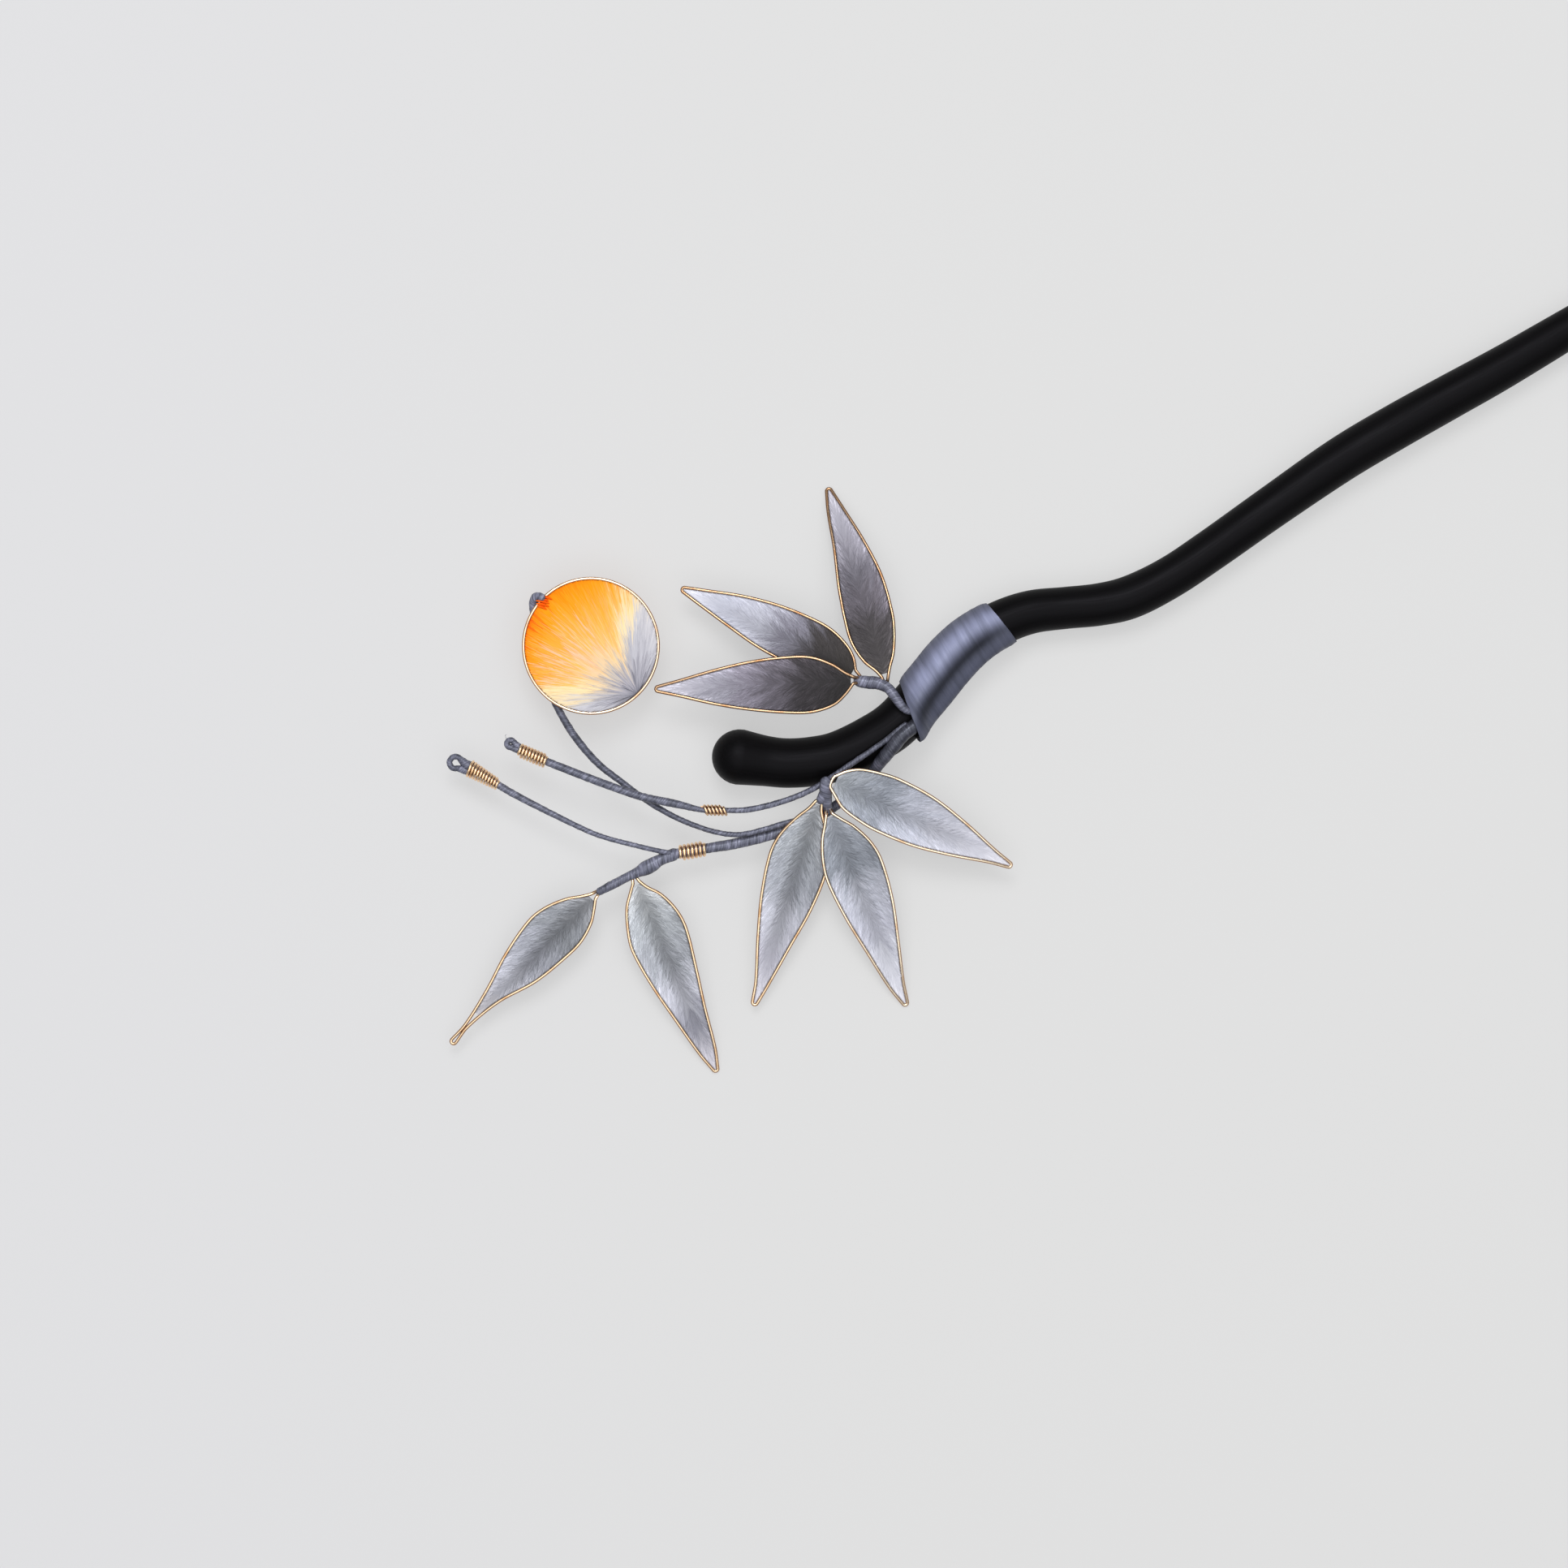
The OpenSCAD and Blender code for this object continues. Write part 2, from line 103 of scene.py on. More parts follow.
def joined(x, y, z):
    return put("ShaderNodeCombineXYZ", {0: x, 1: y, 2: z}).outputs[0]


def parted(vector):
    return put("ShaderNodeSeparateXYZ", {0: vector}).outputs


def noise(vector, scale=1, detail=2, roughness=0.5):
    values = {"Vector": vector, "Scale": scale, "Detail": detail, "Roughness": roughness}
    return put("ShaderNodeTexNoise", values).outputs[0]


def spread(value, low, high, to=(0, 1), smooth=True):  # low..high becomes to[0]..to[1]
    return put("ShaderNodeMapRange", {0: value, 1: low, 2: high, 3: to[0], 4: to[1]},
               interpolation_type="SMOOTHSTEP" if smooth else "LINEAR").outputs[0]


def linear(colour):
    values = [int(colour[i:i + 2], 16) / 255 for i in (1, 3, 5)]
    return [v / 12.92 if v <= 0.04045 else ((v + 0.055) / 1.055) ** 2.4 for v in values] + [1.0]


def blendColours(share, first, second):
    first, second = [linear(c) if isinstance(c, str) else c for c in (first, second)]
    return put("ShaderNodeMix", {0: share, 6: first, 7: second}, data_type="RGBA").outputs[2]


def ramp(share, stops):
    node = put("ShaderNodeValToRGB", {0: share})
    node.color_ramp.interpolation = "EASE"
    elements = node.color_ramp.elements
    for i, (place, colour) in enumerate(stops.items()):
        element = elements[i] if i < 2 else elements.new(place)
        element.position = place
        element.color = linear(colour)
    return node.outputs[0]


def objectPlace():
    return put("ShaderNodeTexCoord").outputs["Object"]


# The kinds of the group sockets that aren't plain numbers
socketKinds = {
    "Geometry": "Geometry", "Material": "Material", "Wrap": "Vector", "Lay": "Vector", "Start": "Vector",
    "End": "Vector", "Sides": "Int", "Points": "Int", "Seed": "Int",
}


def newGroup(name, kind, inputs, outputs):
    tree = opened["tree"] = groups[name] = bpy.data.node_groups.new(name, kind)
    for way, titles in (("INPUT", inputs), ("OUTPUT", outputs)):
        for title in titles:
            socket = "NodeSocket" + socketKinds.get(title, "Float")
            tree.interface.new_socket(title, in_out=way, socket_type=socket)
    return tree.nodes.new("NodeGroupInput").outputs


def useGroup(name, values):
    return put("ShaderNodeGroup", values, node_tree=groups[name]).outputs


def newMaterial(name, values):
    made = bpy.data.materials.new(name)
    made.use_nodes = True
    opened["tree"] = made.node_tree
    shader = made.node_tree.nodes["Principled BSDF"]
    setInputs(shader, values)
    return made, shader


def attribute(name, kind="Fac"):
    return put("ShaderNodeAttribute", attribute_name=name).outputs[kind]


def bumped(height, strength, depth):
    return put("ShaderNodeBump", {"Height": height, "Strength": strength, "Distance": depth * mm}).outputs[0]


# Camera, floor and lights

view = {
    "aim": (-53.4, -3.0, 8),  # what is in the middle of the picture
    "turn": -31.5,  # degrees from +X to the picture's right
    "distance": 837,
    "lens": 120,
}
studio = {
    "floor": ("#868689", "#868686"),  # its colour on the picture's left, and from the middle on
    "change": (-0.13, 0.03),  # where the one turns into the other, in metres to the right
    "glow": 0.49,  # how bright the lit paper is by itself
    "key": {"across": -60, "up": 470, "height": 880, "size": 380, "watts": 3.3},
    "top": {"across": 0, "up": -60, "height": 1300, "size": 1700, "watts": 11.8},
    "world": (0.18, 0.46),  # brightness at the horizon and overhead
    "sky": (0.98, 0.99, 1.0, 1.0),  # its colour
}

aim = Vector(view["aim"]) * mm
turn = radians(view["turn"])
across = Vector((cos(turn), sin(turn), 0))
up = Vector((-sin(turn), cos(turn), 0))


def addObject(name, data):
    made = bpy.data.objects.new(name, data)
    bpy.context.collection.objects.link(made)
    return made


lens = bpy.data.cameras.new("camera")
lens.lens = view["lens"]
lens.sensor_width = 36
camera = addObject("camera", lens)
camera.location = aim + Vector((0, 0, view["distance"] * mm))
camera.rotation_euler = (0, 0, turn)
bpy.context.scene.camera = camera

for name in ("key", "top"):
    place = studio[name]
    light = bpy.data.lights.new(name + "Light", "AREA")
    light.size = place["size"] * mm
    light.energy = place["watts"]
    lamp = addObject(name + "Light", light)
    where = (across * place["across"] + up * place["up"] + Vector((0, 0, place["height"]))) * mm
    lamp.location = aim + where
    lamp.rotation_euler = (-where).to_track_quat("-Z", "Y").to_euler()

world = bpy.data.worlds.new("studio")
world.use_nodes = True
bpy.context.scene.world = world
opened["tree"] = world.node_tree
height = parted(put("ShaderNodeTexCoord").outputs["Generated"])[2]
setInputs(world.node_tree.nodes["Background"], {
    "Strength": spread(height, 0.0, 0.9, studio["world"]), "Color": studio["sky"]})

bpy.ops.mesh.primitive_plane_add(size=5, location=(aim.x, aim.y, 0))
floor = bpy.context.object
floor.name = "floor"
paper, shader = newMaterial("paper", {
    "Roughness": 0.9, "Specular IOR Level": 0.1, "Emission Color": (1.0, 1.0, 1.0, 1.0),
    "Emission Strength": studio["glow"]})
tint = spread(vectorCalc("DOT_PRODUCT", objectPlace(), tuple(across)), *studio["change"])
setInputs(shader, {"Base Color": blendColours(tint, *studio["floor"])})
floor.data.materials.append(paper)
bpy.context.scene.view_settings.view_transform = "Standard"
print("camera, floor and lights placed")


# Shared effects

# Wound floss: Wrap holds the millimetres along the piece and the cosine and sine of the place round it
given = newGroup("woundFloss", "ShaderNodeTree", ("Wrap", "Fineness", "Slant"), ("Streak", "Patch", "Height"))
x, y, z = parted(given["Wrap"])
slanted = timesPlus(y, given["Slant"], x)
y, z = times(y, 0.4), times(z, 0.4)
streak = noise(joined(times(slanted, given["Fineness"]), y, z), 1, 3, 0.62)
patch = noise(joined(times(slanted, 0.9), y, z), 0.9)
put("NodeGroupOutput", {"Streak": streak, "Patch": patch, "Height": timesPlus(patch, 0.5, streak)})

# Pressed fibre: Lay holds a number that is the same all along a fibre, the place along it and the share of
# the leaf's length, all in millimetres but the last
given = newGroup("pressedFibre", "ShaderNodeTree", ("Lay", "Fineness", "Run"), ("Fine", "Broad", "Height"))
x, y = parted(given["Lay"])[:2]
drawn = joined(times(x, given["Fineness"]), times(y, given["Run"]), 0)
fine = noise(drawn, 1, 3, 0.65)
broad = noise(scaled(drawn, 0.16), 1, 2, 0.55)
put("NodeGroupOutput", {"Fine": fine, "Broad": broad, "Height": timesPlus(broad, 0.6, fine)})

# Slow drift of tone over the whole object, as hand-dyed and hand-finished pieces have
given = newGroup("handDrift", "ShaderNodeTree", ("Scale", "Depth"), ("Tone",))
drift = swing(noise(objectPlace(), given["Scale"]), given["Depth"])
put("NodeGroupOutput", {"Tone": plus(drift, 1)})


# Materials

wood = {"dark": "#050505", "pale": "#0c0b0c", "grain": (0.12, 3.2, 3.2), "roughness": (0.4, 0.52)}

stickWood, shader = newMaterial("stickWood", {
    "Specular IOR Level": 0.08, "Specular Tint": (0.9, 0.88, 1.0, 1.0)})
grain = noise(vectorCalc("MULTIPLY", attribute("grain", "Vector"), wood["grain"]), 1, 4, 0.6)
share = times(grain, useGroup("handDrift", {"Scale": 40, "Depth": 0.5})["Tone"])
setInputs(shader, {
    "Base Color": blendColours(share, wood["dark"], wood["pale"]),
    "Roughness": spread(grain, 0.3, 0.7, wood["roughness"]), "Normal": bumped(grain, 0.25, 0.03)})

# sides is how bright the floss is at its sides, a painted shade, groove how much darker it is
# deep in the binding's valley, also painted shade, and shine how much brighter in a painted highlight band
floss = {
    "stem": {"dyes": {0.36: "#3a3b45", 0.5: "#5b5c6b", 0.64: "#838497"}, "fineness": 3.8, "slant": 0.3,
             "gloss": 0.65, "roughness": (0.42, 0.3), "sides": 0.36, "groove": 0.84, "paintedShine": 0.0},
    "binding": {"dyes": {0.36: "#505364", 0.5: "#595c6f", 0.64: "#606377"}, "fineness": 1.5, "slant": 0.35,
                "gloss": 0.4, "roughness": (0.6, 0.45), "sides": 0.7, "groove": 0.84, "paintedShine": 1.7},
}


def flossMaterial(name, look):
    made, shader = newMaterial(name, {
        "Specular IOR Level": look["gloss"], "Specular Tint": (0.8, 0.85, 1.0, 1.0)})
    streak, patch, height = useGroup("woundFloss", {
        "Wrap": attribute("wrap", "Vector"), "Fineness": look["fineness"], "Slant": look["slant"]})
    dyed = ramp(plus(times(streak, 0.7), times(patch, 0.3)), look["dyes"])
    # painted highlight: a brighter band where the shine mark lies, broken up by the patch noise
    smooth = times(attribute("paintedShine"), spread(patch, 0.3, 0.6, (0.82, 1.06)))
    # painted shade in the valley (groove) and at the sides, the stem's tone mark (partly painted shade) and
    # the painted highlight
    tone = times(
        useGroup("handDrift", {"Scale": 90, "Depth": 0.3})["Tone"],
        timesPlus(attribute("groove"), -look["groove"], 1),
        spread(attribute("shadedFlank"), 0.2, 0.95, (1, look["sides"])),
        plus(attribute("tone"), 1),
        timesPlus(smooth, look["paintedShine"], 1))
    setInputs(shader, {
        "Base Color": scaled(dyed, tone), "Roughness": spread(streak, 0.35, 0.65, look["roughness"]),
        "Normal": bumped(height, 0.5, 0.06)})
    return made


stemSilk = flossMaterial("stemSilk", floss["stem"])
bindingSilk = flossMaterial("bindingSilk", floss["binding"])

# Each wire's colours on its top, at its sides, which is painted shade, and where it is worn
gold = {
    "copperWire": ("#bc9c7c", "#7e4c30", "#a87850"),
    "creamWire": ("#fbe8cc", "#b67c54", "#dfb58a"),
    "honeyWire": ("#ecd0ac", "#a66c44", "#d0a070"),
    "ringWire": ("#f0d8bc", "#c08458", "#d8a880"),
    "coilWire": ("#fcdab0", "#c67e48", "#eeb27a"),
}
goldFinishAndShade = {"patch": 0.35, "edge": (0.35, 0.92), "worn": (0.5, 0.68), "wear": 0.8, "roughness": (0.2, 0.32)}


def wireMaterial(name):
    made, shader = newMaterial(name, {"Metallic": 1.0})
    top, sides, rubbed = gold[name]
    shadedFlank = attribute("shadedFlank")
    rub = noise(joined(times(attribute("along"), goldFinishAndShade["patch"]), shadedFlank, 0), 1, 3, 0.55)
    # painted shade: where the wire turns away from the light it takes the darker side colour
    edge = spread(shadedFlank, *goldFinishAndShade["edge"])
    worn = times(spread(rub, *goldFinishAndShade["worn"]), minus(1, edge))
    colour = blendColours(times(worn, goldFinishAndShade["wear"]), blendColours(edge, top, sides), rubbed)
    setInputs(shader, {
        "Base Color": colour, "Roughness": spread(rub, 0.3, 0.7, goldFinishAndShade["roughness"])})
    return made


wires = {name: wireMaterial(name) for name in gold}


# A leaf's dye runs from its foot to its tip and wanders from fibre to fibre. contrast is that of the
# fibres and strands that of the strands; lean lightens one side as painted light, rib darkens the middle
# line, rays light up the fibre ends by the wire as a painted sheen, and flecks the single strands.
def leafMaterial(name, dye):
    made, shader = newMaterial(name, {
        "Roughness": 0.6, "Specular IOR Level": 0.2, "Sheen Weight": 0.12, "Sheen Roughness": 0.5})
    lay = attribute("lay", "Vector")
    side, share = parted(lay)[1:]
    edge = attribute("edge")
    strand = attribute("tone")
    fine, broad, height = useGroup("pressedFibre", {"Lay": lay, "Fineness": 3.2, "Run": 0.7})
    dyed = ramp(timesPlus(minus(broad, 0.5), dye["wander"], share), dye["stops"])
    # light and dark fibres, and a few strands much lighter, all of them plainer towards the tip
    contrast = timesPlus(strand, dye["strands"], swing(fine, dye["contrast"]))
    contrast = plus(contrast, spread(strand, 0.5, 1.0, (0, dye["flecks"])))
    contrast = times(contrast, spread(share, 0.35, 0.85, (1, 0.25)))
    # the rib is strongest near the foot
    rib = times(spread(calc("ABSOLUTE", side), 0.1, 1.9, (1, 0)), spread(share, 0.5, 0.95, (dye["rib"], 0)))
    # painted sheen: rays lighten the fibres near the wire; shade is a painted shadow where the silk goes
    # under it
    rays = times(spread(edge, 0.3, 1.6, (dye["rays"], 0)), spread(fine, 0.46, 0.66))
    shade = spread(edge, 0.22, 0.5, (0.3, 1))  # a dark line where the silk goes under the wire
    tone = times(plus(contrast, 1), minus(1, rib), timesPlus(side, -dye["lean"], 1), plus(rays, 1), shade)
    setInputs(shader, {"Base Color": scaled(dyed, tone), "Normal": bumped(height, 0.6, 0.05)})
    return made


disc = {
    "middle": (-68.2, 32.0, 8.5), "width": 22.1, "wire": 0.52, "thickness": 0.5, "dome": 0.4,
    "root": (-65.8, 21.5),  # where its fibres fan out from
    "reach": 21.4,  # from there to the rim opposite
    "rings": 26, "sectors": 96, "tuck": 0.08, "ringSteps": 160, "ringSides": 12,
    # along the fibres: up the middle of the fan, and at its two sides
    "hot": {0.0: "#6e6e7a", 0.1: "#aaa7b1", 0.19: "#cdc2b8", 0.3: "#efd0a4", 0.46: "#ffbe60",
            0.66: "#ffae3e", 0.85: "#ff9e12", 1.0: "#fc8808"},
    "cool": {0.0: "#6e6e7a", 0.12: "#a5a3ad", 0.3: "#c0bfc7", 0.55: "#cfcdd2", 1.0: "#dedad6"},
    "deep": "#fb5f0a",  # the rim opposite the root, on its left
    "blush": "#f9cdb8",  # pink streaks in the middle
    "pale": "#f8e0ae",  # between the warm part and the cool sides
}

discSilk, shader = newMaterial("discSilk", {"Roughness": 0.65, "Specular IOR Level": 0.08})
lay = attribute("lay", "Vector")
bearing, reach = parted(lay)[:2]  # degrees from the middle of the fan, and millimetres from its root
fine, broad, height = useGroup("pressedFibre", {"Lay": lay, "Fineness": 0.75, "Run": 0.16})
fineSwing = minus(fine, 0.5)
share = calc("DIVIDE", reach, disc["reach"])
shifted = plus(share, timesPlus(fineSwing, 0.34, swing(broad, 0.3)))
swayed = timesPlus(minus(broad, 0.5), 34, timesPlus(fineSwing, 34, bearing))
blush = times(spread(fine, 0.48, 0.58), spread(share, 0.26, 0.4), spread(share, 0.85, 0.6),
              spread(swayed, -10, 10, (0.2, 0.7)))
hot = blendColours(blush, ramp(shifted, disc["hot"]), disc["blush"])
deep = times(spread(shifted, 0.8, 0.98), spread(swayed, 2, 13), spread(swayed, 38, 27))
hot = blendColours(deep, hot, disc["deep"])
# how far a fibre is past the warm part's right and left sides, in degrees; the warm part widens outwards
pastRight = minus(times(swayed, -1), spread(share, 0.25, 0.7, (20, 42), smooth=False))
pastLeft = minus(swayed, spread(share, 0.25, 0.7, (34, 44), smooth=False))
paleShare = times(calc("MAXIMUM", spread(pastRight, -12, 2), spread(pastLeft, -8, 4)),
                  spread(share, 0.2, 0.38))
hot = blendColours(paleShare, hot, disc["pale"])
coolShare = calc("MAXIMUM", spread(pastRight, -2, 12), spread(pastLeft, 4, 20))
dyed = blendColours(coolShare, hot, ramp(shifted, disc["cool"]))
tone = timesPlus(attribute("tone"), 0.025, timesPlus(fineSwing, 0.2, 1.06))
# painted shadow: darker where the silk goes under the ring wire
tone = times(tone, spread(attribute("edge"), 0.2, 0.5, (0.4, 1)))
setInputs(shader, {"Base Color": scaled(dyed, tone), "Normal": bumped(height, 0.25, 0.03)})
print("materials made")


# Lines and meshes

def smoothLine(rows, steps):  # the same curve through the rows as the solids follow
    rows = np.array(rows, float)
    line = []
    for i in range(len(rows) - 1):
        before, a, b, after = rows[max(i - 1, 0)], rows[i], rows[i + 1], rows[min(i + 2, len(rows) - 1)]
        for t in np.arange(steps) / steps:
            line.append(a + (b - before) * t / 2 + (2 * before - 5 * a + 4 * b - after) * t ** 2 / 2
                        + (3 * a - before - 3 * b + after) * t ** 3 / 2)
    return np.array(line + [rows[-1]])


def unit(vector):
    return np.array(vector, float) / np.linalg.norm(vector)


def walked(line):  # how far along the line each of its rows is
    steps = np.linalg.norm(np.diff(line[:, :3], axis=0), axis=1)
    return np.concatenate([[0], np.cumsum(steps)])


def keep(marks, values):  # adds what is stored at one more point
    for title, value in values.items():
        marks.setdefault(title, []).append(value)


def band(a, b, count):  # the faces between two rings of points, which start at a and at b
    return [(a + k, a + (k + 1) % count, b + (k + 1) % count, b + k) for k in range(count)]


def pieceName(node):
    words = node.title().replace("_", "")
    return words[0].lower() + words[1:]


def addMesh(name, points, faces, marks, edges=()):
    mesh = bpy.data.meshes.new(name)
    mesh.from_pydata([tuple(p) for p in np.array(points) * mm], edges, faces)
    for title, values in marks.items():
        values = np.array(values, float)
        kind, field = ("FLOAT_VECTOR", "vector") if values.ndim == 2 else ("FLOAT", "value")
        mesh.attributes.new(title, kind, "POINT").data.foreach_set(field, values.ravel())
    mesh.shade_smooth()
    if faces:  # all of them turned outwards
        shell = bmesh.new()
        shell.from_mesh(mesh)
        bmesh.ops.recalc_face_normals(shell, faces=shell.faces)
        shell.to_mesh(mesh)
        shell.free()
    return addObject(name, mesh)


# Round bars in one piece, each along a line of x, y, z and thickness. stored gives what is kept at a place:
# it gets the millimetres along the bar, the angle round it and its radius.
def tubes(name, lines, sides, stored, closed=False):
    points, faces, marks = [], [], {}
    for line in lines:
        line = np.array(line, float)
        first, count, along = len(points), len(line), walked(line)
        for i, row in enumerate(line):
            before = line[i - 1] if closed or i else line[0]
            after = line[(i + 1) % count] if closed or i < count - 1 else line[-1]
            ahead = unit(after[:3] - before[:3])
            out = unit(np.cross(ahead, (0, 0, 1)))
            over = np.cross(out, ahead)
            for k in range(sides):
                angle = 2 * pi * k / sides
                points.append(row[:3] + row[3] / 2 * (cos(angle) * out + sin(angle) * over))
                keep(marks, stored(along[i], angle, row[3] / 2))
        for i in range(count if closed else count - 1):
            faces += band(first + i * sides, first + (i + 1) % count * sides, sides)
        if not closed:
            faces.append(tuple(range(first, first + sides))[::-1])
            faces.append(tuple(range(len(points) - sides, len(points))))
    return addMesh(name, points, faces, marks)


# the wire materials paint the sides darker with this mark, as shade
def wireMarks(along, angle, radius):  # flank is 0 on top of and under the wire, 1 at its sides
    return {"along": along, "shadedFlank": abs(cos(angle))}


def finishPiece(piece, node, material=None):
    if material:
        piece.data.materials.append(material)
    if node:
        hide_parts(node)
    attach(piece, "root")


# Helpers for Geometry Nodes: each tree takes its sizes and the material, and gives a whole, dressed shape

def newShaper(name, *sizes):
    return newGroup(name, "GeometryNodeTree", ("Geometry", *sizes, "Material"), ("Geometry",))


def shaped(kind, values=None, **settings):
    return put("GeometryNode" + kind, values, **settings).outputs[0]


def nodeField(name, kind="FLOAT"):
    return shaped("InputNamedAttribute", {"Name": name}, data_type=kind)


def store(geometry, name, value, kind="FLOAT", domain="POINT"):
    return shaped("StoreNamedAttribute", {"Geometry": geometry, "Name": name, "Value": value},
                  data_type=kind, domain=domain)


def barAlong(curve, profile, thickness):
    values = {"Curve": curve, "Profile Curve": profile, "Scale": thickness, "Fill Caps": True}
    return shaped("CurveToMesh", values)


def circle(sides):
    return shaped("CurvePrimitiveCircle", {"Resolution": sides, "Radius": 0.5})


def endShaper(geometry, material):
    whole = shaped("RealizeInstances", {"Geometry": geometry})
    put("NodeGroupOutput", {"Geometry": shaped("SetMaterial", {"Geometry": whole, "Material": material})})


def runNodes(piece, name, values, smooth=True):
    modifier = piece.modifiers.new("nodes", "NODES")
    modifier.node_group = groups[name]
    for item in groups[name].interface.items_tree:
        if item.in_out == "INPUT" and item.name in values:
            modifier[item.identifier] = values[item.name]
    graph = bpy.context.evaluated_depsgraph_get()
    mesh = bpy.data.meshes.new_from_object(piece.evaluated_get(graph), preserve_all_data_layers=True,
                                           depsgraph=graph)
    piece.modifiers.clear()
    piece.data = mesh
    mesh.name = piece.name
    if smooth:
        mesh.shade_smooth()


# The hair stick

stick = {
    "thickness": 7.0, "sides": 48, "steps": 8,
    "lift": 0.8, "liftFrom": -10.0, "liftTo": 100.0,  # it rises from the one place of x to the other
    # x, y and thickness as a share of the shaft's
    "course": [
        (-57.2, 4.4, 1.28), (-54, 1.7, 1.16), (-51.2, -0.4, 1.14), (-47.6, -2.3, 1.14),
        (-43.6, -3.7, 1.14), (-38, -4.3, 1.14), (-32.7, -4.1, 1.14), (-26, -2, 1.11), (-20, 0, 1.08),
        (-15, 1, 1.05), (-10, 0.9, 1.03), (-5, -0.2, 1), (0, -2.5, 0.97), (5, -4.9, 0.98),
        (10, -6.5, 1), (17, -7.1, 0.97), (25, -6.8, 0.97), (37, -6, 0.99), (50, -5.3, 1.04),
        (60, -5.4, 1.05), (70, -5.8, 1.03), (82, -6.3, 0.98), (100, -6.5, 0.85), (119.3, -6.4, 0.486),
    ],
}


def stickLift(x):
    run = stick["liftTo"] - stick["liftFrom"]
    return stick["lift"] * min(1, max(0, (stick["liftTo"] - x) / run))


stickRows = [(x, y, stickLift(x) + share * stick["thickness"] / 2, share * stick["thickness"])
             for x, y, share in stick["course"]]
stickLine = smoothLine(stickRows, stick["steps"])


def roundEnd(row, way):
    angles = [radians(a) for a in (12, 24, 36, 48, 59, 69, 78, 84, 88)]
    return [np.append(row[:3] + way * row[3] / 2 * sin(a), row[3] * cos(a)) for a in angles]


stickEnds = (roundEnd(stickLine[0], unit(stickLine[0][:3] - stickLine[4][:3]))[::-1],
             roundEnd(stickLine[-1], np.array((1, 0, 0))))
stickPiece = tubes(
    "hairStick", [[*stickEnds[0], *stickLine, *stickEnds[1]]], stick["sides"],
    lambda along, angle, radius: {"grain": (along, radius * cos(angle), radius * sin(angle))})
finishPiece(stickPiece, "hair_stick", stickWood)
print("hair stick made")


# Stems of silk-wound wire

# Turns a line with the attribute thick into a wound stem with ridges and soft lumps
given = newShaper("windSilk", "Step", "Sides", "Ridge", "Lump", "Fineness", "Shift")
curve = shaped("MeshToCurve", {"Mesh": given["Geometry"]})
curve = shaped("ResampleCurve", {"Curve": curve, "Length": given["Step"]}, mode="LENGTH")
spline = put("GeometryNodeSplineParameter").outputs
curve = store(curve, "along", times(spline["Length"], 1000))
profile = store(circle(given["Sides"]), "round", times(spline["Factor"], 2 * pi))
bar = barAlong(curve, profile, nodeField("thick"))
angle = nodeField("round")
wrap = joined(nodeField("along"), calc("COSINE", angle), calc("SINE", angle))
bar = store(bar, "wrap", wrap, "FLOAT_VECTOR")
seeded = vectorCalc("ADD", nodeField("wrap", "FLOAT_VECTOR"), joined(given["Shift"], 0, 0))
x, y, z = parted(seeded)
thread = joined(times(x, given["Fineness"]), times(y, 0.6), times(z, 0.6))
ridge = swing(noise(thread, 1, 2, 0.6), given["Ridge"])
lump = swing(noise(seeded, 1.1, 1), given["Lump"])
bar = shaped("SetPosition", {"Geometry": bar,
                             "Offset": scaled(shaped("InputNormal"), plus(ridge, lump))})
# painted shade: this mark darkens the floss where the stem's surface turns sideways to the light
facingUp = calc("ABSOLUTE", parted(shaped("InputNormal"))[2])
endShaper(store(bar, "shadedFlank", minus(1, facingUp)), given["Material"])

